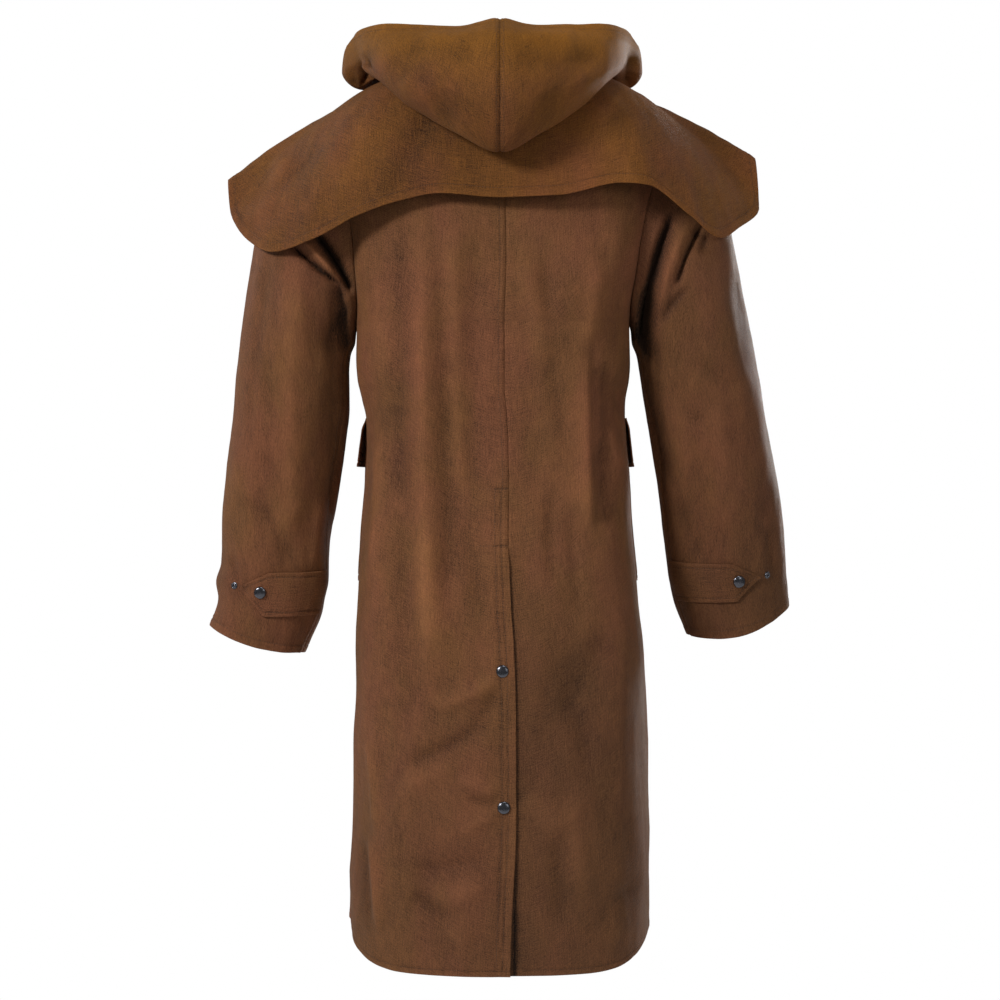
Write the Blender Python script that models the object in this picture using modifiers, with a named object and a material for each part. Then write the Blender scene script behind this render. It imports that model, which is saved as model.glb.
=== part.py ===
"""A hooded duster coat with a shoulder cape, filled out as when it is worn.

Lengths are metres. +Z is up, the front faces -Y and the wearer's left is +X. The origin is the
middle of the neck opening, level with the neck ends of the shoulder seams. Each piece of cloth
is a wall of its own: its outer face follows a formula, and its inner face lies one cloth inside.
"""

from math import pi

import bpy
import numpy as np
from mathutils import Vector

COAT = "duster_coat"

# Cloth and seams
CLOTH = 0.002
SEAM_GAP = 0.0003
LAYER = 0.0028  # from one outer face to the next where cloth lies on cloth
NUDGE = 1e-4  # step in a surface's own units, for its slopes

# Body
SQUARE = 0.25  # how far the rings swell from an ellipse towards a rounded box
QUARTER = 0.30  # a quarter of the way round the coat
BACK_NECK_DIP = 0.012
FRONT_NECK_DIP = 0.080
HEM = 1.235
SIDE_HEM_LIFT = 0.050
SIDE_LIFT_FROM = 1.035
FRONT_LAP = 0.085  # share of a front panel that reaches past the centre front
FRONT_LAP_FADES = (0.60, 0.90)  # shares between which the left front rises over the right

NECK_SEAM = 0.004  # how far below the neck's edge the cape and hood are sewn on
LAP_RISE = 1.15  # layers that the lapped fronts lift what lies on them
LAP_RISE_TURNS = (1.55, 1.80)

# Armhole, an ellipse seen from the side
ARMHOLE_TOP = 0.075
ARMHOLE_LOW = 0.360
ARMHOLE_MIDDLE = (ARMHOLE_TOP + ARMHOLE_LOW) / 2
ARMHOLE_HALF_HEIGHT = (ARMHOLE_LOW - ARMHOLE_TOP) / 2
ARMHOLE_HALF_DEPTH = 0.080
ARMHOLE_ROWS = 11
SLEEVE_START = 0.0004  # the sleeve starts this far out from the body's edge
ROUND_STEP = 0.5 / (ARMHOLE_ROWS - 1)  # so that a sleeve's columns meet the armhole's rows

# Back vent
VENT_TOP = 0.660
VENT_LAPPED = 0.700  # the left edge lies a full layer over the right from here down
VENT_LAP = 0.10  # share of the left back that lies on the underlap
VENT_LAP_FADES = (0.12, 0.32)  # shares between which the left edge settles on the body
UNDERLAP_DROPS = (0.704, 1.233)
VENT_SNAPS = (0.8315, 1.012)
VENT_SNAP_SHARE = 0.038
VENT_LOOSE_FROM = 1.02  # below its last snap the vent's edge stands off and drifts aside
VENT_HEM_LIFT = 0.005
VENT_HEM_DRIFT = 0.011

# Front snaps
FRONT_SNAPS = (0.33, 0.45, 0.57, 0.69, 0.81, 0.93)

# Pockets
POCKET_SHARES = (0.04, 0.60)
POCKET_DROPS = (0.506, 0.715)
FLAP_SHARES = (0.0, 0.64)
FLAP_ROWS = (0.487, 0.495, 0.503, 0.520, 0.538, 0.556)  # sewn on at its first row
FLAP_STEP = LAYER + 0.0006  # from its sewn edge up over the pocket
FLAP_STAND = {1: 0.0085, -1: 0.0040}  # how far a flap's lower side corner stands off
FLAP_FRONT_STAND = 0.3  # share of that stand at a flap's front end

# Sleeves and cuffs
BACK_SEAM = 0.45
FRONT_SEAM = 0.80
SLEEVE_ROWS = (
    (0, 0.012, 0.035, 0.079, 0.135, 0.204, 0.275, 0.356, 0.440, 0.528, 0.602)
    + (0.640, 0.662, 0.680, 0.692, 0.710, 0.730, 0.752)
)
ELLIPSE_FROM = 0.26  # along the sleeve, where the armhole's own shape has died away
CUFF_FROM = 0.690
CUFF_END = SLEEVE_ROWS[-1]
CUFF_DIP = {1: 0.010, -1: 0.021}  # how much lower a cuff hangs at its back and front
TAB_LAYER = 0.0030
TAB_SHIFT = {1: 0.0, -1: -0.006}
TAB_SNAP = (0.234, 0.693)
TAB_STUD = (0.148, 0.690)

# Hood
HOOD_END = 1.78
HOOD_COLUMNS = 15
HOOD_ROWS = (0, 0.35, 0.7, 1.05, 1.4, 1.7, 1.9, 2.1, 2.35, 2.7, 3.1, 3.6, 4.1, 4.6, 5)
RIGHT_HOOD_WIDTH = 0.90

# Snaps
SNAP_RADIUS = 0.0085
SNAP_HEIGHT = 0.0036
STUD_RADIUS = 0.0048
STUD_HEIGHT = 0.0024
SNAP_SEAT = 0.0006
TURN_STEPS = 14

CAPE_ROWS = 9
TAB_COLUMNS = 13
LEAST_SHARE = 1e-6  # keeps a side's own edge where its share is nothing
LEAST_STEP = 0.004  # the closest that a piece's own edge comes to a line of the grid under it


def table(columns, *rows):
    """The rows' numbers as one array for each named column."""
    return dict(zip(columns.split(), np.array(rows, float).T))


def column_names(data, first):
    return [name for name in data if name != first]


BODY = table(
    "drop half_width shift back front",
    (0.000, 0.078, 0.000, 0.070, 0.073),
    (0.035, 0.150, 0.000, 0.098, 0.100),
    (0.075, 0.233, 0.001, 0.114, 0.120),
    (0.120, 0.236, 0.002, 0.123, 0.129),
    (0.200, 0.224, 0.003, 0.131, 0.138),
    (0.280, 0.207, 0.006, 0.134, 0.145),
    (0.360, 0.190, 0.009, 0.133, 0.146),
    (0.406, 0.191, 0.009, 0.131, 0.145),
    (0.434, 0.189, 0.009, 0.129, 0.143),
    (0.462, 0.183, 0.008, 0.127, 0.142),
    (0.490, 0.180, 0.005, 0.126, 0.141),
    (0.574, 0.183, 0.003, 0.130, 0.143),
    (0.658, 0.189, 0.005, 0.138, 0.148),
    (0.742, 0.196, 0.004, 0.148, 0.154),
    (0.800, 0.201, 0.001, 0.155, 0.158),
    (0.882, 0.204, -0.001, 0.163, 0.163),
    (1.022, 0.206, -0.001, 0.174, 0.172),
    (1.162, 0.209, 0.001, 0.181, 0.179),
    (1.235, 0.208, 0.001, 0.183, 0.181),
)

CENTRE_SEAM = table(
    "drop turn",
    (0.000, 0.000),
    (0.200, -0.022),
    (0.330, -0.038),
    (0.560, -0.040),
    (0.780, -0.048),
    (1.022, -0.050),
    (1.235, -0.046),
)

BODY_FOLDS = table(
    "turn_top drop_top turn_low drop_low half_width height",
    (0.30, 0.20, 0.34, 0.80, 0.030, 0.0050),
    (0.12, 0.25, 0.16, 0.70, 0.022, -0.0035),
    (0.58, 0.36, 0.50, 1.10, 0.040, 0.0050),
    (-0.34, 0.16, -0.20, 0.62, 0.032, 0.0045),
    (-0.56, 0.55, -0.42, 1.20, 0.045, 0.0060),
    (-0.80, 0.50, -0.84, 1.00, 0.030, -0.0045),
    (0.36, 0.78, 0.72, 1.20, 0.040, -0.0050),
    (1.45, 0.60, 1.40, 1.25, 0.045, 0.0060),
    (-1.50, 0.62, -1.38, 1.25, 0.045, 0.0060),
    (1.72, 0.24, 1.58, 0.50, 0.035, 0.0040),
    (-1.70, 0.26, -1.60, 0.50, 0.035, 0.0040),
)

SLEEVES = {
    1: table(
        "along outer_x outer_z inner_x inner_z half_depth forward",
        (0.000, 0.234, -0.075, 0.199, -0.360, 0.080, 0.000),
        (0.035, 0.264, -0.094, 0.2005, -0.3650, 0.081, 0.000),
        (0.079, 0.297, -0.128, 0.2010, -0.372, 0.082, 0.000),
        (0.135, 0.323, -0.176, 0.2022, -0.383, 0.082, 0.000),
        (0.204, 0.341, -0.235, 0.2092, -0.401, 0.082, 0.000),
        (0.275, 0.353, -0.305, 0.2120, -0.428, 0.081, 0.002),
        (0.356, 0.365, -0.385, 0.2120, -0.468, 0.078, 0.004),
        (0.440, 0.374, -0.468, 0.2170, -0.520, 0.075, 0.010),
        (0.528, 0.384, -0.556, 0.2260, -0.590, 0.070, 0.020),
        (0.602, 0.391, -0.630, 0.2380, -0.660, 0.066, 0.030),
        (0.662, 0.395, -0.690, 0.2420, -0.715, 0.062, 0.036),
        (0.692, 0.403, -0.719, 0.2480, -0.742, 0.061, 0.040),
        (0.710, 0.400, -0.739, 0.2520, -0.762, 0.059, 0.042),
        (0.752, 0.412, -0.779, 0.2765, -0.8175, 0.054, 0.046),
    ),
    -1: table(
        "along outer_x outer_z inner_x inner_z half_depth forward",
        (0.000, 0.232, -0.075, 0.181, -0.360, 0.080, 0.000),
        (0.035, 0.259, -0.094, 0.1824, -0.3650, 0.081, 0.000),
        (0.079, 0.287, -0.128, 0.1830, -0.372, 0.082, 0.000),
        (0.135, 0.310, -0.176, 0.1843, -0.383, 0.082, 0.000),
        (0.204, 0.326, -0.235, 0.1902, -0.400, 0.082, 0.000),
        (0.275, 0.339, -0.305, 0.1935, -0.422, 0.081, 0.002),
        (0.356, 0.355, -0.385, 0.1980, -0.458, 0.078, 0.004),
        (0.440, 0.370, -0.468, 0.2090, -0.512, 0.075, 0.010),
        (0.528, 0.387, -0.556, 0.2220, -0.585, 0.070, 0.020),
        (0.602, 0.399, -0.626, 0.2290, -0.650, 0.066, 0.030),
        (0.662, 0.404, -0.684, 0.2370, -0.708, 0.062, 0.036),
        (0.692, 0.406, -0.708, 0.2430, -0.733, 0.061, 0.040),
        (0.710, 0.408, -0.722, 0.2470, -0.749, 0.059, 0.042),
        (0.752, 0.411, -0.750, 0.2640, -0.792, 0.054, 0.046),
    ),
}

CUFF_TAB = table(
    "round middle half_width",
    (0.440, 0.678, 0.0320),
    (0.245, 0.691, 0.0280),
    (0.172, 0.691, 0.0010),
)

CAPES = {
    1: table(
        "turn mid_x mid_y mid_z hem_x hem_y hem_z",
        (0.00, 0.000, 0.148, -0.040, 0.000, 0.155, -0.196),
        (0.25, 0.068, 0.147, -0.034, 0.0805, 0.150, -0.190),
        (0.45, 0.122, 0.142, -0.028, 0.134, 0.145, -0.199),
        (0.60, 0.166, 0.132, -0.022, 0.190, 0.137, -0.218),
        (0.75, 0.210, 0.112, -0.014, 0.2576, 0.115, -0.2496),
        (0.88, 0.240, 0.080, -0.012, 0.312, 0.080, -0.2625),
        (0.96, 0.248, 0.048, -0.010, 0.350, 0.042, -0.242),
        (1.03, 0.246, 0.010, -0.026, 0.377, 0.004, -0.198),
        (1.10, 0.246, -0.018, -0.042, 0.383, -0.020, -0.151),
        (1.25, 0.236, -0.080, -0.028, 0.372, -0.064, -0.190),
        (1.40, 0.202, -0.124, -0.032, 0.330, -0.115, -0.245),
        (1.60, 0.140, -0.158, -0.040, 0.240, -0.155, -0.272),
        (1.80, 0.074, -0.170, -0.080, 0.130, -0.174, -0.282),
        (1.96, 0.016, -0.172, -0.115, 0.024, -0.180, -0.285),
    ),
    -1: table(
        "turn mid_x mid_y mid_z hem_x hem_y hem_z",
        (0.00, 0.000, 0.148, -0.040, 0.000, 0.155, -0.196),
        (0.25, 0.068, 0.147, -0.034, 0.0805, 0.150, -0.1927),
        (0.45, 0.124, 0.142, -0.040, 0.1615, 0.142, -0.1754),
        (0.60, 0.168, 0.132, -0.037, 0.202, 0.135, -0.1775),
        (0.75, 0.206, 0.112, -0.022, 0.258, 0.110, -0.2151),
        (0.88, 0.234, 0.080, -0.012, 0.303, 0.078, -0.2430),
        (0.96, 0.240, 0.048, -0.012, 0.330, 0.046, -0.226),
        (1.03, 0.240, 0.010, -0.028, 0.363, 0.004, -0.193),
        (1.12, 0.246, -0.022, -0.043, 0.359, -0.022, -0.1220),
        (1.25, 0.230, -0.080, -0.028, 0.350, -0.064, -0.180),
        (1.40, 0.198, -0.124, -0.032, 0.315, -0.115, -0.240),
        (1.60, 0.140, -0.158, -0.040, 0.235, -0.155, -0.272),
        (1.80, 0.074, -0.170, -0.080, 0.130, -0.174, -0.282),
        (1.96, 0.016, -0.172, -0.115, 0.024, -0.180, -0.285),
    ),
}

HOOD = table(
    "turn under_r under_z fold_r fold_z belly_r belly_z top_r top_z rim_r rim_z",
    (0.00, 0.137, -0.048, 0.183, -0.140, 0.222, -0.070, 0.203, 0.012, 0.155, 0.044),
    (0.22, 0.137, -0.034, 0.182, -0.112, 0.220, -0.055, 0.200, 0.010, 0.157, 0.034),
    (0.44, 0.137, -0.014, 0.182, -0.076, 0.218, -0.035, 0.204, 0.012, 0.170, 0.039),
    (0.67, 0.140, 0.002, 0.182, -0.031, 0.213, -0.012, 0.209, 0.022, 0.192, 0.046),
    (0.83, 0.138, 0.006, 0.174, -0.015, 0.196, -0.004, 0.206, 0.024, 0.199, 0.047),
    (1.00, 0.140, 0.006, 0.196, -0.026, 0.221, -0.004, 0.218, 0.024, 0.204, 0.040),
    (1.17, 0.130, 0.004, 0.180, -0.021, 0.207, -0.008, 0.200, 0.008, 0.188, 0.019),
    (1.39, 0.110, 0.000, 0.150, -0.022, 0.174, -0.014, 0.168, -0.002, 0.155, 0.004),
    (1.61, 0.098, -0.024, 0.122, -0.044, 0.143, -0.034, 0.138, -0.022, 0.127, -0.016),
    (1.78, 0.093, -0.048, 0.108, -0.066, 0.124, -0.056, 0.121, -0.044, 0.112, -0.038),
)
HOOD_POINTS = ("under", "fold", "belly", "top", "rim")


def through(places, values, at, level=False):
    """A smooth curve through the values, which doesn't overshoot between them. With level it
    starts flat, as at the middle of a piece whose other half mirrors it."""
    gap = np.diff(places)
    slope = np.diff(values) / gap
    product = slope[1:] * slope[:-1]
    total = np.where(product > 0, slope[1:] + slope[:-1], 1)
    inside = np.where(product > 0, 2 * product / total, 0)
    tangent = np.concatenate([slope[:1] * (not level), inside, slope[-1:]])
    at = np.clip(at, places[0], places[-1])
    i = np.clip(np.searchsorted(places, at) - 1, 0, len(gap) - 1)
    t = (at - places[i]) / gap[i]
    return (
        values[i] * (1 + 2 * t) * (1 - t) ** 2
        + gap[i] * tangent[i] * t * (1 - t) ** 2
        + values[i + 1] * t * t * (3 - 2 * t)
        + gap[i] * tangent[i + 1] * t * t * (t - 1)
    )


def read(data, name, at, level=False):
    """A table's named column, read smoothly at places in its first column."""
    return through(data[next(iter(data))], data[name], at, level)


def smooth(start, end, at):
    """0 before the start, 1 after the end, and eased between."""
    share = np.clip((at - start) / (end - start), 0, 1)
    return share * share * (3 - 2 * share)


def body_folds(turn, drop):
    """How far the body's large folds stand out, each along a line down the coat."""
    total = 0
    for top, drop_top, low, drop_low, half_width, height in zip(*BODY_FOLDS.values()):
        down = (drop - drop_top) / (drop_low - drop_top)
        aside = (turn - top - (low - top) * down + 2) % 4 - 2
        ends = np.sin(pi * np.clip(down, 0, 1)) ** 2
        total += height * ends * np.exp(-((aside * QUARTER / half_width) ** 2))
    return total


def coat(turn, drop):
    """The body's outer face. Turn runs round it from the centre back: 1 is the left side, -1
    the right side, and 2 the centre front. Drop is the way down from the neck."""
    sideways = np.sin(turn * pi / 2)
    backways = np.cos(turn * pi / 2)
    depth = np.where(backways > 0, read(BODY, "back", drop), read(BODY, "front", drop))
    dip = np.where(backways > 0, BACK_NECK_DIP, FRONT_NECK_DIP) * backways**4
    lift = SIDE_HEM_LIFT * np.abs(sideways) ** 5 * smooth(SIDE_LIFT_FROM, HEM, drop)
    fold = body_folds(turn, drop)
    x = read(BODY, "half_width", drop) * sideways * (1 + SQUARE * backways**2)
    y = depth * backways * (1 + SQUARE * sideways**2)
    z = lift - drop - dip * (1 - smooth(0, ARMHOLE_LOW, drop))
    x = x + read(BODY, "shift", drop) + fold * sideways
    return np.stack([x, y + fold * backways, z], axis=-1)


TURNS = np.linspace(1, 0, 501)
DEPTH_SHARES = np.cos(TURNS * pi / 2) * (1 + SQUARE * np.sin(TURNS * pi / 2) ** 2)


def turn_at(y, depth):
    """The turn, from a centre towards a side, at which a ring of this depth reaches this y."""
    return np.interp(y / depth, DEPTH_SHARES, TURNS)


def side_turn(drop, face):
    """Where a panel ends: at the armhole's edge beside it, and at the side elsewhere."""
    height = (drop - ARMHOLE_MIDDLE) / ARMHOLE_HALF_HEIGHT
    reach = ARMHOLE_HALF_DEPTH * np.sqrt(np.clip(1 - height**2, 0, 1))
    return turn_at(reach, read(BODY, face, drop))


def back_turn(share, drop):
    """Share 0 is the centre back seam, 1 the left edge of the back and -1 its right edge."""
    seam = read(CENTRE_SEAM, "turn", drop)
    edge = np.where(share < 0, -1, 1) * side_turn(drop, "back")
    return seam + np.abs(share) * (edge - seam)


def front_turn(share, drop, side):
    """Share 0 is a front's side edge, and 1 the centre front."""
    edge = 2 - side_turn(drop, "front")
    return side * (edge + share * (2 - edge))


def sleeve(round_, along, side):
    """A sleeve's outer face. Round runs from the top or outside (0) over the back (0.25) to
    the inside (0.5) and the front (0.75). Along runs from the shoulder to the cuff."""
    data = SLEEVES[side]
    cosine = np.cos(round_ * 2 * pi)
    sine = np.sin(round_ * 2 * pi)
    outer_x, outer_z, inner_x, inner_z, half_depth, forward = (
        read(data, name, along) for name in column_names(data, "along")
    )
    x = (outer_x + inner_x) / 2 + (outer_x - inner_x) / 2 * cosine
    z = (outer_z + inner_z) / 2 + (outer_z - inner_z) / 2 * cosine
    z = z - CUFF_DIP[side] * sine**2 * smooth(CUFF_FROM, CUFF_END, along)
    shape = np.stack([side * x, half_depth * sine - forward, z], axis=-1)

    drop = ARMHOLE_MIDDLE - ARMHOLE_HALF_HEIGHT * cosine
    y = ARMHOLE_HALF_DEPTH * sine
    depth = np.where(sine > 0, read(BODY, "back", drop), read(BODY, "front", drop))
    turn = turn_at(np.abs(y), depth)
    loop = coat(side * np.where(sine > 0, turn, 2 - turn), drop)
    first = [data[name][0] for name in column_names(data, "along")]
    plain_x = (first[0] + first[2]) / 2 + (first[0] - first[2]) / 2 * cosine
    plain_z = (first[1] + first[3]) / 2 + (first[1] - first[3]) / 2 * cosine
    plain = np.stack([side * plain_x, y, plain_z], axis=-1)
    fading = 1 - smooth(0, ELLIPSE_FROM, along)
    start = np.array([side * SLEEVE_START, 0, 0])
    return shape + fading[..., None] * (loop - plain + start)


def neck_edge(turn, layers):
    """The neck edge of a piece that lies this many layers over the body's neck, and over the
    fronts' lap where they meet."""
    drop = np.full_like(turn, NECK_SEAM)
    over = layers + LAP_RISE * smooth(*LAP_RISE_TURNS, np.abs(turn))
    return coat(turn, drop) + LAYER * over[..., None] * outward(coat, turn, drop)


def cape(turn, down, side):
    """The cape's outer face. Down runs from 0 at the neck to 1 at the hem."""
    data = CAPES[side]
    middle = np.stack([read(data, "mid_" + axis, turn, axis != "x") for axis in "xyz"], axis=-1)
    hem = np.stack([read(data, "hem_" + axis, turn, axis != "x") for axis in "xyz"], axis=-1)
    neck = neck_edge(side * turn, 1)
    mirrored = np.array([side, 1, 1])
    t = down[..., None]
    return (
        (1 - t) ** 2 * neck
        + 2 * t * (1 - t) * middle * mirrored
        + t * t * hem * mirrored
    )


def hood(turn, row, side):
    """The hood's outer face, hanging behind the neck. Row runs from 0 at the neck under the
    bag to its bottom fold (2), up its back (3, 4) and to the rim (5)."""
    neck = neck_edge(side * turn, 2)
    sine = np.sin(turn * pi / 2)
    cosine = np.cos(turn * pi / 2)
    radii = [np.hypot(neck[..., 0], neck[..., 1])]
    heights = [neck[..., 2]]
    for point in HOOD_POINTS:
        radii.append(read(HOOD, point + "_r", turn, level=True))
        heights.append(read(HOOD, point + "_z", turn, level=True))
    radius = along_rows(np.stack(radii), row)
    height = along_rows(np.stack(heights), row)
    start = np.arctan2(side * neck[..., 0], neck[..., 1])
    settled = smooth(0, 1, row)
    angle = start + (turn * pi / 2 - start) * settled
    narrow = 1 if side > 0 else 1 - (1 - RIGHT_HOOD_WIDTH) * settled
    x = side * radius * np.sin(angle) * narrow
    return np.stack([x, radius * np.cos(angle), height], axis=-1)


def along_rows(values, row):
    """Smooth curves through values[0], values[1] and so on, read at each point's own row."""
    slope = np.diff(values, axis=0)
    product = slope[1:] * slope[:-1]
    total = np.where(product > 0, slope[1:] + slope[:-1], 1)
    inside = np.where(product > 0, 2 * product / total, 0)
    tangent = np.concatenate([slope[:1], inside, slope[-1:]])
    row = np.clip(row, 0, len(values) - 1)
    i = np.clip(np.floor(row).astype(int), 0, len(values) - 2)
    t = row - i

    def at(array, index):
        return np.take_along_axis(array, index[None], axis=0)[0]

    return (
        at(values, i) * (1 + 2 * t) * (1 - t) ** 2
        + at(tangent, i) * t * (1 - t) ** 2
        + at(values, i + 1) * t * t * (3 - 2 * t)
        + at(tangent, i + 1) * t * t * (t - 1)
    )


def outward(surface, across, down, flip=1):
    """Unit vectors square to a surface, on the side where across, down and out are a right hand."""
    by_across = surface(across + NUDGE, down) - surface(across - NUDGE, down)
    by_down = surface(across, down + NUDGE) - surface(across, down - NUDGE)
    out = flip * np.cross(by_across, by_down)
    return out / np.linalg.norm(out, axis=-1, keepdims=True)


def draw_back(outer, inner):
    """Moves both faces' four edges in by half a seam gap."""
    for axis in (0, 1):
        face = np.moveaxis(outer, axis, 0)
        behind = np.moveaxis(inner, axis, 0)
        for edge, beside in ((0, 1), (-1, -2)):
            way = face[beside] - face[edge]
            way *= SEAM_GAP / 2 / np.linalg.norm(way, axis=-1, keepdims=True)
            face[edge] += way
            behind[edge] += way


def wall_mesh(name, outer, inner):
    """A closed wall between two faces of equal rows and columns."""
    rows, columns = outer.shape[:2]
    index = np.arange(rows * columns).reshape(rows, columns)
    corners = (index[:-1, :-1], index[:-1, 1:], index[1:, 1:], index[1:, :-1])
    front = np.stack(corners, axis=-1).reshape(-1, 4)
    rim = np.concatenate([index[0], index[1:, -1], index[-1, -2::-1], index[-2:0:-1, 0]])
    ahead = np.roll(rim, -1)
    behind = rows * columns
    edge = np.stack([rim, rim + behind, ahead + behind, ahead], axis=-1)
    faces = np.concatenate([front, front[:, ::-1] + behind, edge])
    points = np.concatenate([outer.reshape(-1, 3), inner.reshape(-1, 3)])
    mesh = bpy.data.meshes.new(name)
    mesh.from_pydata(points.tolist(), [], faces.tolist())
    if signed_volume(points, faces) < 0:
        mesh.flip_normals()
    mesh.shade_smooth()
    mesh.set_sharp_from_angle(angle=pi / 4)
    return mesh


def signed_volume(points, faces):
    a, b, c, d = (points[faces[:, k]] for k in range(4))
    return (np.cross(a, b) * c).sum() + (np.cross(a, c) * d).sum()


def material(name, colour, roughness, metallic=0.0):
    made = bpy.data.materials.new(name)
    made.use_nodes = True
    shader = made.node_tree.nodes["Principled BSDF"]
    shader.inputs["Base Color"].default_value = (*colour, 1)
    shader.inputs["Roughness"].default_value = roughness
    shader.inputs["Metallic"].default_value = metallic
    return made


def body_canvas(name):
    return material(name + "_canvas", (0.141, 0.065, 0.034), 0.85)


def cape_canvas(name):
    return material(name + "_canvas", (0.165, 0.070, 0.022), 0.85)


def snap_metal(name):
    return material(name + "_metal", (0.045, 0.046, 0.055), 0.35, 1.0)


def add(name, mesh, finish):
    thing = bpy.data.objects.new(name, mesh)
    mesh.materials.append(finish)
    bpy.data.collections[COAT].objects.link(thing)
    thing.parent = bpy.data.objects["neck_middle"]
    return thing


def wall(name, surface, across, down, finish, out=0.0, flip=1):
    """A piece of cloth on a surface, or moved out from it."""
    across, down = np.broadcast_arrays(across, down)
    square = outward(surface, across, down, flip)
    outer = surface(across, down) + np.multiply(out, 1.0)[..., None] * square
    inner = outer - CLOTH * square
    draw_back(outer, inner)
    return add(name, wall_mesh(name, outer, inner), finish)


def turned(name, profile, point, normal, finish):
    """A turned piece that stands on a point. Its profile runs from its top down its outside."""
    mesh = bpy.data.meshes.new(name)
    edges = [(i, i + 1) for i in range(len(profile) - 1)]
    mesh.from_pydata([(r, 0, z) for r, z in profile], edges, [])
    piece = add(name, mesh, finish)
    piece.location = point
    piece.rotation_euler = Vector(normal).to_track_quat("Z", "Y").to_euler()
    screw = piece.modifiers.new("Turn", "SCREW")
    screw.axis = "Z"
    screw.steps = TURN_STEPS
    screw.render_steps = TURN_STEPS
    screw.use_merge_vertices = True
    screw.merge_threshold = 0.00001
    screw.use_smooth_shade = True


def dome(radius, height):
    """The profile of a snap's cap: a low dome with a short straight rim."""
    return (
        (0, height),
        (0.50 * radius, 0.90 * height),
        (0.84 * radius, 0.60 * height),
        (radius, 0.28 * height),
        (radius, 0),
        (0, 0),
    )


def snap(name, surface, across, down, out, radius=SNAP_RADIUS, height=SNAP_HEIGHT, flip=1):
    across, down = np.array(across, float), np.array(down, float)
    normal = outward(surface, across, down, flip)
    point = surface(across, down) + (out + SNAP_SEAT) * normal
    turned(name, dome(radius, height), point, normal, snap_metal(name))


def lines(start, end, grid):
    """A piece's own ends, with the lines of the grid under it between them."""
    inside = grid[(grid > start + LEAST_STEP) & (grid < end - LEAST_STEP)]
    return np.concatenate([[start], inside, [end]])


def halved(places):
    """The places with a middle between each two."""
    return np.sort(np.concatenate([places, (places[1:] + places[:-1]) / 2]))


def named(side):
    return "left" if side > 0 else "right"


# Rows down the body: the shoulders, the armhole and the skirt
ARMHOLE_ANGLES = np.linspace(0, pi, ARMHOLE_ROWS)
BODY_ROWS = np.concatenate(
    [
        (0.0, 0.020, 0.045),
        ARMHOLE_MIDDLE - ARMHOLE_HALF_HEIGHT * np.cos(ARMHOLE_ANGLES),
        (0.385, 0.420, 0.460, 0.490, 0.550, 0.610, VENT_TOP, VENT_LAPPED),
        (0.770, 0.850, 0.930, 1.010, 1.090, 1.160, 1.205, HEM),
    ]
)
BODY_SHARES = np.linspace(0, 1, 11)


def vent_lift(share, drop):
    """How far the left back's vent edge stands over the right back."""
    edge = 1 - smooth(*VENT_LAP_FADES, share)
    step = LAYER * smooth(VENT_TOP, VENT_LAPPED, drop)
    return edge * (step + VENT_HEM_LIFT * smooth(VENT_LOOSE_FROM, HEM, drop))


def make_back():
    rows = BODY_ROWS[:, None]
    for side in (1, -1):
        shares = np.broadcast_to(BODY_SHARES, (len(BODY_ROWS), len(BODY_SHARES))).copy()
        lift = 0.0
        if side > 0:
            shares[:, 0] += VENT_HEM_DRIFT * smooth(VENT_LOOSE_FROM, HEM, BODY_ROWS)
            lift = vent_lift(shares, rows)
        turns = back_turn(side * np.maximum(shares, LEAST_SHARE), rows)
        name = "back_" + named(side)
        wall(name, coat, turns, rows, body_canvas(name), lift)


def make_vent():
    drops = lines(*UNDERLAP_DROPS, BODY_ROWS)[:, None]
    shares = np.array([0.0, VENT_LAP])
    wall("vent_underlap", coat, back_turn(shares, drops), drops, body_canvas("vent_underlap"))
    for number, drop in enumerate(VENT_SNAPS, 1):
        turn = back_turn(VENT_SNAP_SHARE, drop)
        lift = vent_lift(VENT_SNAP_SHARE, drop)
        snap(f"vent_snap_{number}", coat, turn, drop, lift)


def front_lift(share):
    """The left front lies over the right one along the centre front."""
    return LAYER * smooth(*FRONT_LAP_FADES, share)


def make_fronts():
    rows = BODY_ROWS[:, None]
    shares = np.append(BODY_SHARES, 1 + FRONT_LAP)
    for side in (1, -1):
        name = "front_" + named(side)
        lift = front_lift(shares) if side > 0 else 0.0
        wall(name, coat, front_turn(shares, rows, side), rows, body_canvas(name), lift)
    for number, drop in enumerate(FRONT_SNAPS, 1):
        snap(f"front_snap_{number}", coat, 2.0, drop, LAYER)


def make_pockets():
    for side in (1, -1):
        drops = lines(*POCKET_DROPS, BODY_ROWS)[:, None]
        turns = front_turn(lines(*POCKET_SHARES, BODY_SHARES), drops, side)
        name = "pocket_" + named(side)
        wall(name, coat, turns, drops, body_canvas(name), LAYER)

        drops = np.array(FLAP_ROWS)[:, None]
        shares = lines(*FLAP_SHARES, BODY_SHARES)
        low = (drops - FLAP_ROWS[0]) / (FLAP_ROWS[-1] - FLAP_ROWS[0])
        ahead = 1 - (1 - FLAP_FRONT_STAND) * smooth(0, 0.5, shares)
        stand = FLAP_STAND[side] * low * ahead
        name = "pocket_flap_" + named(side)
        turns = front_turn(shares, drops, side)
        out = LAYER + FLAP_STEP * smooth(FLAP_ROWS[0], FLAP_ROWS[2], drops) + stand
        wall(name, coat, turns, drops, body_canvas(name), out)


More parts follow.
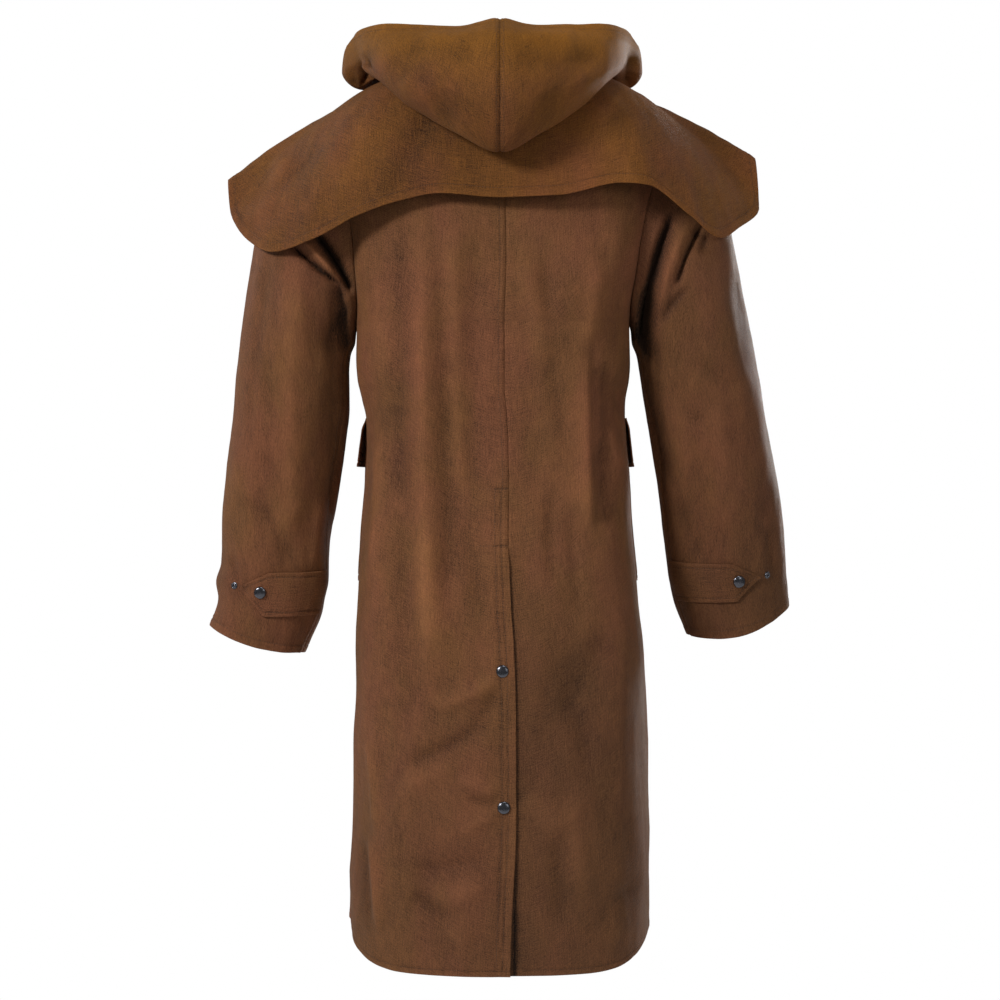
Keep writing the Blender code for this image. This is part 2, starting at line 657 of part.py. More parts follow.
def make_sleeves():
    along = np.array(SLEEVE_ROWS)[:, None]
    for side in (1, -1):

        def arm(round_, down, side=side):
            return sleeve(round_, down, side)

        for part, start, end in (
            ("top", FRONT_SEAM - 1, BACK_SEAM),
            ("under", BACK_SEAM, FRONT_SEAM),
        ):
            name = f"sleeve_{named(side)}_{part}"
            rounds = np.linspace(start, end, round((end - start) / ROUND_STEP) + 1)
            wall(name, arm, rounds, along, body_canvas(name), 0.0, -side)

        share = np.linspace(-1, 1, 5)[:, None]
        rounds = np.linspace(CUFF_TAB["round"][0], CUFF_TAB["round"][-1], TAB_COLUMNS)
        middle = np.interp(-rounds, -CUFF_TAB["round"], CUFF_TAB["middle"]) + TAB_SHIFT[side]
        half = np.interp(-rounds, -CUFF_TAB["round"], CUFF_TAB["half_width"])
        name = "cuff_tab_" + named(side)
        wall(name, arm, rounds, middle + share * half, body_canvas(name), TAB_LAYER, -side)

        round_, down = TAB_SNAP
        snap(
            f"cuff_snap_{named(side)}",
            arm,
            round_,
            down + TAB_SHIFT[side],
            TAB_LAYER,
            flip=-side,
        )
        round_, down = TAB_STUD
        snap(
            f"cuff_stud_{named(side)}",
            arm,
            round_,
            down + TAB_SHIFT[side],
            0.0,
            STUD_RADIUS,
            STUD_HEIGHT,
            -side,
        )


def whole_cape(turn, down):
    """Both sides of the cape, with the right side at negative turns."""
    left = cape(np.abs(turn), down, 1)
    right = cape(np.abs(turn), down, -1)
    return np.where((turn >= 0)[..., None], left, right)


def make_cape():
    down = np.linspace(0, 1, CAPE_ROWS)[:, None]
    half_back = np.append(halved(CAPES[1]["turn"][:7]), 1.0)
    back_turns = np.concatenate([-half_back[:0:-1], half_back])
    front_turns = np.append(1.0, halved(CAPES[1]["turn"][7:]))
    wall("cape_back", whole_cape, back_turns, down, cape_canvas("cape_back"))
    for side in (1, -1):
        name = "cape_front_" + named(side)
        wall(name, whole_cape, side * front_turns, down, cape_canvas(name))


def make_hood():
    rows = np.array(HOOD_ROWS, float)
    for side in (1, -1):

        def half(turn, row, side=side):
            return hood(turn, row, side)

        turns = np.linspace(0, HOOD_END, HOOD_COLUMNS)
        name = "hood_" + named(side)
        wall(name, half, turns, rows[:, None], cape_canvas(name), 0.0, -side)


def main():
    for old in list(bpy.data.objects):
        bpy.data.objects.remove(old)
    collection = bpy.data.collections.new(COAT)
    bpy.context.scene.collection.children.link(collection)
    collection.objects.link(bpy.data.objects.new("neck_middle", None))
    make_back()
    make_vent()
    make_fronts()
    make_pockets()
    make_sleeves()
    make_cape()
    make_hood()


main()
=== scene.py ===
"""The looks of a hooded duster coat with a shoulder cape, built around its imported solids.

Lengths are metres, and millimetres in the tables. +Z is up, the front faces -Y and the wearer's
left is +X. Each sheet of cloth follows the same formula as its solid, more finely, with the
creases, seams and stitches that show.
"""

from math import pi

import bpy
import numpy as np
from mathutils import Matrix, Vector


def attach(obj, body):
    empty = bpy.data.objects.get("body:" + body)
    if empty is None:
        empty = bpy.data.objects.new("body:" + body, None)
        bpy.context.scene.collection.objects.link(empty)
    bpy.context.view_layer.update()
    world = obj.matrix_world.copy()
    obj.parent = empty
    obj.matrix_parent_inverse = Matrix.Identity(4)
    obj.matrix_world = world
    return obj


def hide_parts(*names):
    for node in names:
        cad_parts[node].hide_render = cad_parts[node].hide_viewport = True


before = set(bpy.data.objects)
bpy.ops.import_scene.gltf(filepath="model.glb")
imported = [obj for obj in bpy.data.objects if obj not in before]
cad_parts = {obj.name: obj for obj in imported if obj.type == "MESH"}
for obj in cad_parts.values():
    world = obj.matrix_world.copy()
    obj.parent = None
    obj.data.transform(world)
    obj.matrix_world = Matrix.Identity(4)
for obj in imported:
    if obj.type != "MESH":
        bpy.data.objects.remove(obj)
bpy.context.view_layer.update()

# Cloth and seams
CLOTH = 0.002
SEAM_GAP = 0.0003
LAYER = 0.0028  # from one outer face to the next where cloth lies on cloth
NUDGE = 1e-4  # step in a surface's own units, for its slopes

# Body
SQUARE = 0.25  # how far the rings swell from an ellipse towards a rounded box
QUARTER = 0.30  # a quarter of the way round the coat
BACK_NECK_DIP = 0.012
FRONT_NECK_DIP = 0.080
HEM = 1.235
SIDE_HEM_LIFT = 0.050
SIDE_LIFT_FROM = 1.035
FRONT_LAP = 0.085  # share of a front panel that reaches past the centre front
FRONT_LAP_FADES = (0.60, 0.90)  # shares between which the left front rises over the right

NECK_SEAM = 0.004  # how far below the neck's edge the cape and hood are sewn on
LAP_RISE = 1.15  # layers that the lapped fronts lift what lies on them
LAP_RISE_TURNS = (1.55, 1.80)

# Armhole, an ellipse seen from the side
ARMHOLE_TOP = 0.075
ARMHOLE_LOW = 0.360
ARMHOLE_MIDDLE = (ARMHOLE_TOP + ARMHOLE_LOW) / 2
ARMHOLE_HALF_HEIGHT = (ARMHOLE_LOW - ARMHOLE_TOP) / 2
ARMHOLE_HALF_DEPTH = 0.080
SLEEVE_START = 0.0004  # the sleeve starts this far out from the body's edge

# Back vent
VENT_TOP = 0.660
VENT_LAPPED = 0.700  # the left edge lies a full layer over the right from here down
VENT_LAP = 0.10  # share of the left back that lies on the underlap
VENT_LAP_FADES = (0.12, 0.32)  # shares between which the left edge settles on the body
UNDERLAP_DROPS = (0.704, 1.233)
VENT_SNAPS = (0.8315, 1.012)
VENT_SNAP_SHARE = 0.038
VENT_LOOSE_FROM = 1.02  # below its last snap the vent's edge stands off and drifts aside
VENT_HEM_LIFT = 0.005
VENT_HEM_DRIFT = 0.011

# Front snaps
FRONT_SNAPS = (0.33, 0.45, 0.57, 0.69, 0.81, 0.93)

# Pockets
POCKET_SHARES = (0.04, 0.60)
POCKET_DROPS = (0.506, 0.715)
FLAP_SHARES = (0.0, 0.64)
FLAP_ROWS = (0.487, 0.495, 0.503, 0.520, 0.538, 0.556)  # sewn on at its first row
FLAP_STEP = LAYER + 0.0006  # from its sewn edge up over the pocket
FLAP_STAND = {1: 0.0085, -1: 0.0040}  # how far a flap's lower side corner stands off
FLAP_FRONT_STAND = 0.3  # share of that stand at a flap's front end

# Sleeves and cuffs
BACK_SEAM = 0.45
FRONT_SEAM = 0.80
ELLIPSE_FROM = 0.26  # along the sleeve, where the armhole's own shape has died away
CUFF_FROM = 0.690
CUFF_END = 0.752
CUFF_DIP = {1: 0.010, -1: 0.021}  # how much lower a cuff hangs at its back and front
TAB_LAYER = 0.0030
TAB_SHIFT = {1: 0.0, -1: -0.006}
TAB_SNAP = (0.234, 0.693)
TAB_STUD = (0.148, 0.690)

# Hood
HOOD_END = 1.78
RIGHT_HOOD_WIDTH = 0.90

# Snaps
SNAP_RADIUS = 0.0085
SNAP_HEIGHT = 0.0036
STUD_RADIUS = 0.0048
STUD_HEIGHT = 0.0024
SNAP_SEAT = 0.0006

LEAST_SHARE = 1e-6  # keeps a side's own edge where its share is nothing


def table(columns, *rows, plain=""):
    """One array for each named column. Its numbers are millimetres, except in the plain columns."""
    names = columns.split()
    values = np.array(rows, float).T
    kept = plain.split()
    return {name: column / (1 if name in kept else 1000) for name, column in zip(names, values)}


BODY = table(
    "drop half_width shift back front",
    (0, 78, 0, 70, 73),
    (35, 150, 0, 98, 100),
    (75, 233, 1, 114, 120),
    (120, 236, 2, 123, 129),
    (200, 224, 3, 131, 138),
    (280, 207, 6, 134, 145),
    (360, 190, 9, 133, 146),
    (406, 191, 9, 131, 145),
    (434, 189, 9, 129, 143),
    (462, 183, 8, 127, 142),
    (490, 180, 5, 126, 141),
    (574, 183, 3, 130, 143),
    (658, 189, 5, 138, 148),
    (742, 196, 4, 148, 154),
    (800, 201, 1, 155, 158),
    (882, 204, -1, 163, 163),
    (1022, 206, -1, 174, 172),
    (1162, 209, 1, 181, 179),
    (1235, 208, 1, 183, 181),
)

CENTRE_SEAM = table(
    "drop turn",
    (0, 0.000),
    (200, -0.022),
    (330, -0.038),
    (560, -0.040),
    (780, -0.048),
    (1022, -0.050),
    (1235, -0.046),
    plain="turn",
)

BODY_FOLDS = table(
    "turn_top drop_top turn_low drop_low half_width height",
    (0.30, 200, 0.34, 800, 30, 5),
    (0.12, 250, 0.16, 700, 22, -3.5),
    (0.58, 360, 0.50, 1100, 40, 5),
    (-0.34, 160, -0.20, 620, 32, 4.5),
    (-0.56, 550, -0.42, 1200, 45, 6),
    (-0.80, 500, -0.84, 1000, 30, -4.5),
    (0.36, 780, 0.72, 1200, 40, -5),
    (1.45, 600, 1.40, 1250, 45, 6),
    (-1.50, 620, -1.38, 1250, 45, 6),
    (1.72, 240, 1.58, 500, 35, 4),
    (-1.70, 260, -1.60, 500, 35, 4),
    plain="turn_top turn_low",
)

SLEEVES = {
    1: table(
        "along outer_x outer_z inner_x inner_z half_depth forward",
        (0, 234, -75, 199, -360, 80, 0),
        (35, 264, -94, 200.5, -365, 81, 0),
        (79, 297, -128, 201, -372, 82, 0),
        (135, 323, -176, 202.2, -383, 82, 0),
        (204, 341, -235, 209.2, -401, 82, 0),
        (275, 353, -305, 212, -428, 81, 2),
        (356, 365, -385, 212, -468, 78, 4),
        (440, 374, -468, 217, -520, 75, 10),
        (528, 384, -556, 226, -590, 70, 20),
        (602, 391, -630, 238, -660, 66, 30),
        (662, 395, -690, 242, -715, 62, 36),
        (692, 403, -719, 248, -742, 61, 40),
        (710, 400, -739, 252, -762, 59, 42),
        (752, 412, -779, 276.5, -817.5, 54, 46),
    ),
    -1: table(
        "along outer_x outer_z inner_x inner_z half_depth forward",
        (0, 232, -75, 181, -360, 80, 0),
        (35, 259, -94, 182.4, -365, 81, 0),
        (79, 287, -128, 183, -372, 82, 0),
        (135, 310, -176, 184.3, -383, 82, 0),
        (204, 326, -235, 190.2, -400, 82, 0),
        (275, 339, -305, 193.5, -422, 81, 2),
        (356, 355, -385, 198, -458, 78, 4),
        (440, 370, -468, 209, -512, 75, 10),
        (528, 387, -556, 222, -585, 70, 20),
        (602, 399, -626, 229, -650, 66, 30),
        (662, 404, -684, 237, -708, 62, 36),
        (692, 406, -708, 243, -733, 61, 40),
        (710, 408, -722, 247, -749, 59, 42),
        (752, 411, -750, 264, -792, 54, 46),
    ),
}

CUFF_TAB = table(
    "round middle half_width",
    (0.440, 678, 32),
    (0.245, 691, 28),
    (0.172, 691, 1),
    plain="round",
)

CAPES = {
    1: table(
        "turn mid_x mid_y mid_z hem_x hem_y hem_z",
        (0.00, 0, 148, -40, 0, 155, -196),
        (0.25, 68, 147, -34, 80.5, 150, -190),
        (0.45, 122, 142, -28, 134, 145, -199),
        (0.60, 166, 132, -22, 190, 137, -218),
        (0.75, 210, 112, -14, 257.6, 115, -249.6),
        (0.88, 240, 80, -12, 312, 80, -262.5),
        (0.96, 248, 48, -10, 350, 42, -242),
        (1.03, 246, 10, -26, 377, 4, -198),
        (1.10, 246, -18, -42, 383, -20, -151),
        (1.25, 236, -80, -28, 372, -64, -190),
        (1.40, 202, -124, -32, 330, -115, -245),
        (1.60, 140, -158, -40, 240, -155, -272),
        (1.80, 74, -170, -80, 130, -174, -282),
        (1.96, 16, -172, -115, 24, -180, -285),
        plain="turn",
    ),
    -1: table(
        "turn mid_x mid_y mid_z hem_x hem_y hem_z",
        (0.00, 0, 148, -40, 0, 155, -196),
        (0.25, 68, 147, -34, 80.5, 150, -192.7),
        (0.45, 124, 142, -40, 161.5, 142, -175.4),
        (0.60, 168, 132, -37, 202, 135, -177.5),
        (0.75, 206, 112, -22, 258, 110, -215.1),
        (0.88, 234, 80, -12, 303, 78, -243),
        (0.96, 240, 48, -12, 330, 46, -226),
        (1.03, 240, 10, -28, 363, 4, -193),
        (1.12, 246, -22, -43, 359, -22, -122),
        (1.25, 230, -80, -28, 350, -64, -180),
        (1.40, 198, -124, -32, 315, -115, -240),
        (1.60, 140, -158, -40, 235, -155, -272),
        (1.80, 74, -170, -80, 130, -174, -282),
        (1.96, 16, -172, -115, 24, -180, -285),
        plain="turn",
    ),
}

HOOD = table(
    "turn under_r under_z fold_r fold_z belly_r belly_z top_r top_z rim_r rim_z",
    (0.00, 137, -48, 183, -140, 222, -70, 203, 12, 155, 44),
    (0.22, 137, -34, 182, -112, 220, -55, 200, 10, 157, 34),
    (0.44, 137, -14, 182, -76, 218, -35, 204, 12, 170, 39),
    (0.67, 140, 2, 182, -31, 213, -12, 209, 22, 192, 46),
    (0.83, 138, 6, 174, -15, 196, -4, 206, 24, 199, 47),
    (1.00, 140, 6, 196, -26, 221, -4, 218, 24, 204, 40),
    (1.17, 130, 4, 180, -21, 207, -8, 200, 8, 188, 19),
    (1.39, 110, 0, 150, -22, 174, -14, 168, -2, 155, 4),
    (1.61, 98, -24, 122, -44, 143, -34, 138, -22, 127, -16),
    (1.78, 93, -48, 108, -66, 124, -56, 121, -44, 112, -38),
    plain="turn",
)
HOOD_POINTS = ("under", "fold", "belly", "top", "rim")


def inner_slopes(slope):
    """Slopes at a curve's inner places, from those between them, so that it doesn't overshoot."""
    product = slope[1:] * slope[:-1]
    total = np.where(product > 0, slope[1:] + slope[:-1], 1)
    return np.where(product > 0, 2 * product / total, 0)


def between(low, low_slope, high, high_slope, t):
    """A smooth curve from low at t = 0 to high at t = 1, with these slopes at its ends."""
    return (
        low * (1 + 2 * t) * (1 - t) ** 2
        + low_slope * t * (1 - t) ** 2
        + high * t * t * (3 - 2 * t)
        + high_slope * t * t * (t - 1)
    )


def through(places, values, at, level=False):
    """A smooth curve through the values. With level it starts flat, as at the middle of a piece
    whose other half mirrors it."""
    gap = np.diff(places)
    slope = np.diff(values) / gap
    slopes = np.concatenate([slope[:1] * (not level), inner_slopes(slope), slope[-1:]])
    at = np.clip(at, places[0], places[-1])
    i = np.clip(np.searchsorted(places, at) - 1, 0, len(gap) - 1)
    t = (at - places[i]) / gap[i]
    return between(values[i], gap[i] * slopes[i], values[i + 1], gap[i] * slopes[i + 1], t)


def along_rows(values, row):
    """Smooth curves through values[0], values[1] and so on, read at each point's own row."""
    slope = np.diff(values, axis=0)
    slopes = np.concatenate([slope[:1], inner_slopes(slope), slope[-1:]])
    row = np.clip(row, 0, len(values) - 1)
    i = np.clip(np.floor(row).astype(int), 0, len(values) - 2)

    def at(array, index):
        return np.take_along_axis(array, index[None], axis=0)[0]

    return between(at(values, i), at(slopes, i), at(values, i + 1), at(slopes, i + 1), row - i)


def read(data, name, at, level=False):
    """A table's named column, read smoothly at places in its first column."""
    return through(data[next(iter(data))], data[name], at, level)


def smooth(start, end, at):
    """0 before the start, 1 after the end, and eased between."""
    share = np.clip((at - start) / (end - start), 0, 1)
    return share * share * (3 - 2 * share)


def body_folds(turn, drop):
    """How far the body's large folds stand out, each along a line down the coat."""
    total = 0
    for top, drop_top, low, drop_low, half_width, height in zip(*BODY_FOLDS.values()):
        down = (drop - drop_top) / (drop_low - drop_top)
        aside = (turn - top - (low - top) * down + 2) % 4 - 2
        ends = np.sin(pi * np.clip(down, 0, 1)) ** 2
        total += height * ends * np.exp(-((aside * QUARTER / half_width) ** 2))
    return total


def body_depth(backways, drop):
    return np.where(backways > 0, read(BODY, "back", drop), read(BODY, "front", drop))


def coat(turn, drop):
    """The body's outer face. Turn runs round it from the centre back: 1 is the left side, -1
    the right side, and 2 the centre front. Drop is the way down from the neck."""
    sideways = np.sin(turn * pi / 2)
    backways = np.cos(turn * pi / 2)
    dip = np.where(backways > 0, BACK_NECK_DIP, FRONT_NECK_DIP) * backways**4
    lift = SIDE_HEM_LIFT * np.abs(sideways) ** 5 * smooth(SIDE_LIFT_FROM, HEM, drop)
    fold = body_folds(turn, drop)
    x = read(BODY, "half_width", drop) * sideways * (1 + SQUARE * backways**2)
    y = body_depth(backways, drop) * backways * (1 + SQUARE * sideways**2)
    z = lift - drop - dip * (1 - smooth(0, ARMHOLE_LOW, drop))
    x = x + read(BODY, "shift", drop) + fold * sideways
    return np.stack([x, y + fold * backways, z], axis=-1)


TURNS = np.linspace(1, 0, 501)
DEPTH_SHARES = np.cos(TURNS * pi / 2) * (1 + SQUARE * np.sin(TURNS * pi / 2) ** 2)


def turn_at(y, depth):
    """The turn, from a centre towards a side, at which a ring of this depth reaches this y."""
    return np.interp(y / depth, DEPTH_SHARES, TURNS)


def side_turn(drop, face):
    """Where a panel ends: at the armhole's edge beside it, and at the side elsewhere."""
    height = (drop - ARMHOLE_MIDDLE) / ARMHOLE_HALF_HEIGHT
    reach = ARMHOLE_HALF_DEPTH * np.sqrt(np.clip(1 - height**2, 0, 1))
    return turn_at(reach, read(BODY, face, drop))


def back_turn(share, drop):
    """Share 0 is the centre back seam, 1 the left edge of the back and -1 its right edge."""
    seam = read(CENTRE_SEAM, "turn", drop)
    edge = np.where(share < 0, -1, 1) * side_turn(drop, "back")
    return seam + np.abs(share) * (edge - seam)


def front_turn(share, drop, side):
    """Share 0 is a front's side edge, and 1 the centre front."""
    edge = 2 - side_turn(drop, "front")
    return side * (edge + share * (2 - edge))


def ring(outer_x, outer_z, inner_x, inner_z, cosine):
    """A sleeve's ring, from its outer point at a cosine of 1 to its inner one at -1."""
    x = (outer_x + inner_x) / 2 + (outer_x - inner_x) / 2 * cosine
    return x, (outer_z + inner_z) / 2 + (outer_z - inner_z) / 2 * cosine


def sleeve(round_, along, side):
    """A sleeve's outer face. Round runs from the top or outside (0) over the back (0.25) to
    the inside (0.5) and the front (0.75). Along runs from the shoulder to the cuff."""
    data = SLEEVES[side]
    cosine = np.cos(round_ * 2 * pi)
    sine = np.sin(round_ * 2 * pi)
    *points, half_depth, forward = (read(data, name, along) for name in list(data)[1:])
    x, z = ring(*points, cosine)
    z = z - CUFF_DIP[side] * sine**2 * smooth(CUFF_FROM, CUFF_END, along)
    shape = np.stack([side * x, half_depth * sine - forward, z], axis=-1)

    # It starts on the body, round the armhole, and grows into its own shape.
    drop = ARMHOLE_MIDDLE - ARMHOLE_HALF_HEIGHT * cosine
    y = ARMHOLE_HALF_DEPTH * sine
    turn = turn_at(np.abs(y), body_depth(sine, drop))
    loop = coat(side * np.where(sine > 0, turn, 2 - turn), drop)
    first = [column[0] for column in data.values()]
    x, z = ring(*first[1:5], cosine)
    plain = np.stack([side * x, y, z], axis=-1)
    fading = 1 - smooth(0, ELLIPSE_FROM, along)
    start = np.array([side * SLEEVE_START, 0, 0])
    return shape + fading[..., None] * (loop - plain + start)


def layers_over(turn, layers):
    """Layers over the body, with those of the lapped fronts where they meet."""
    return layers + LAP_RISE * smooth(*LAP_RISE_TURNS, np.abs(turn))


def neck_edge(turn, layers):
    """The neck edge of a piece that lies this many layers over the body's neck."""
    drop = np.full_like(turn, NECK_SEAM)
    over = LAYER * layers_over(turn, layers)
    return coat(turn, drop) + over[..., None] * outward(coat, turn, drop)


def cape(turn, down, side):
    """One side of the cape's outer face. Down runs from 0 at the neck to 1 at the hem."""
    data = CAPES[side]
    middle, hem = (
        np.stack([read(data, f"{line}_{axis}", turn, axis != "x") for axis in "xyz"], axis=-1)
        for line in ("mid", "hem")
    )
    neck = neck_edge(side * turn, 1)
    mirrored = np.array([side, 1, 1])
    t = down[..., None]
    return (1 - t) ** 2 * neck + 2 * t * (1 - t) * middle * mirrored + t * t * hem * mirrored


def whole_cape(turn, down):
    """Both sides of the cape, with the right side at negative turns."""
    left = cape(np.abs(turn), down, 1)
    right = cape(np.abs(turn), down, -1)
    return np.where((turn >= 0)[..., None], left, right)


def hood(turn, row, side):
    """The hood's outer face, hanging behind the neck. Row runs from 0 at the neck under the
    bag to its bottom fold (2), up its back (3, 4) and to the rim (5)."""
    neck = neck_edge(side * turn, 2)
    radii = [np.hypot(neck[..., 0], neck[..., 1])]
    radii += [read(HOOD, point + "_r", turn, level=True) for point in HOOD_POINTS]
    heights = [neck[..., 2]]
    heights += [read(HOOD, point + "_z", turn, level=True) for point in HOOD_POINTS]
    radius = along_rows(np.stack(radii), row)
    start = np.arctan2(side * neck[..., 0], neck[..., 1])
    settled = smooth(0, 1, row)
    angle = start + (turn * pi / 2 - start) * settled
    narrow = 1 if side > 0 else 1 - (1 - RIGHT_HOOD_WIDTH) * settled
    x = side * radius * np.sin(angle) * narrow
    return np.stack([x, radius * np.cos(angle), along_rows(np.stack(heights), row)], axis=-1)


def outward(surface, across, down, flip=1):
    """Unit vectors square to a surface, on the side where across, down and out are a right hand."""
    by_across = surface(across + NUDGE, down) - surface(across - NUDGE, down)
    by_down = surface(across, down + NUDGE) - surface(across, down - NUDGE)
    out = flip * np.cross(by_across, by_down)
    return out / np.linalg.norm(out, axis=-1, keepdims=True)


def named(side):
    return "left" if side > 0 else "right"


# Fine cloth

STEP = 0.0052  # between a sheet's lines, away from its edges
EDGE_LINES = (0.0007, 0.0018, 0.0032, 0.0050, 0.0068, 0.0080, 0.0092, 0.0118, 0.0150, 0.0185)
SEAM_LINES = (0.0007, 0.0018, 0.0034, 0.0060)
HEM_LINES = (0.0007, 0.0018, 0.0032, 0.0050, 0.0066, 0.0080, 0.0094, 0.0125)
CAPE_LINES = (0.0007, 0.0018, 0.0032, 0.0055, 0.0085, 0.0115, 0.0130, 0.0145, 0.0175)
ARM_STEPS = 60  # half a sleeve's columns, and the rows of half an armhole
TINY = 1e-12  # keeps a division by a length safe

SEAM_LAP = 0.0006  # how far a sewn edge goes on past its seam
SEAM_DIP = 0.0013
SEAM_DIP_WIDTH = 0.0020
HEM_DEPTH = 0.015
HEM_RISE = 0.0007
FELL = 0.003  # the way over which doubled cloth runs out
HEM_RUBBED = 0.003  # width of a hem's rubbed edge
HEM_STITCHED = 0.002  # from a hem's upper side down to its stitches
SIDE_LIGHT_WIDTH = 0.12  # from the middle to where one side's painted light, or painted shade, is full
ARMHOLE_FADE = 0.014  # creases die away this near an armhole's edge
ARMHOLE_ENDS = (ARMHOLE_LOW, ARMHOLE_LOW + 0.04)  # drops between which they no longer do
SEWN_FACES = (0.02, 0.05)  # how far back or forward the armholes' own creases come up
EDGE_ROUNDING = 0.40  # share of the cloth's thickness that an edge's corners lose

STITCH_SINK = 0.0008
STITCH_SINK_WIDTH = 0.0011
# Painted shade in the groove where a row of stitches sinks in
STITCH_SHADE = 1.0
STITCH_PUCKER = ((0.007, 0.007, 0.007), 11)  # its size along each axis, and its seed
STITCH_PITCH = 0.0036
STITCH_LENGTH = 0.0029
STITCH_HALF_WIDTH = 0.00034
STITCH_RISE = 0.00026
STITCH_BURIED = 0.6  # how deep its ends and underside lie, as a share of its rise
STITCH_PLACES = np.array([0, 0.22, 0.78, 1])  # its end, two rings of four points, and its end
STITCH_SIDES = ((0, 1), (1, 2), (2, 3), (3, 0))
STITCH_FACES = [(5 + a, 5 + b, 1 + b, 1 + a) for a, b in STITCH_SIDES]
STITCH_FACES += [(0, 1 + a, 1 + b) for a, b in STITCH_SIDES]
STITCH_FACES += [(9, 5 + b, 5 + a) for a, b in STITCH_SIDES]

# The slight unevenness of hanging canvas: the size of its bumps along each axis, height and seed
SLACK = (
    ((0.050, 0.050, 0.120), 0.0020, 3),
    ((0.023, 0.023, 0.062), 0.0013, 5),
    ((0.011, 0.011, 0.046), 0.00050, 9),
    ((0.009, 0.009, 0.012), 0.00022, 7),
)
LATTICE = 32  # points along each side of the block of noise that repeats

FOLD_SHADE = 1.6  # how much more painted shade the armholes' deep folds get than their depth alone paints
RIDGE_SHARPNESS = 1.8
TROUGH_SHARPNESS = 1.35
CREASE_STARTS = (-0.08, 0.20)  # shares of a crease's length between which it comes up
CREASE_ENDS = (0.80, 1.08)
CREASE_FACES = 0.35  # a crease shows in full where the cloth faces its way by this much

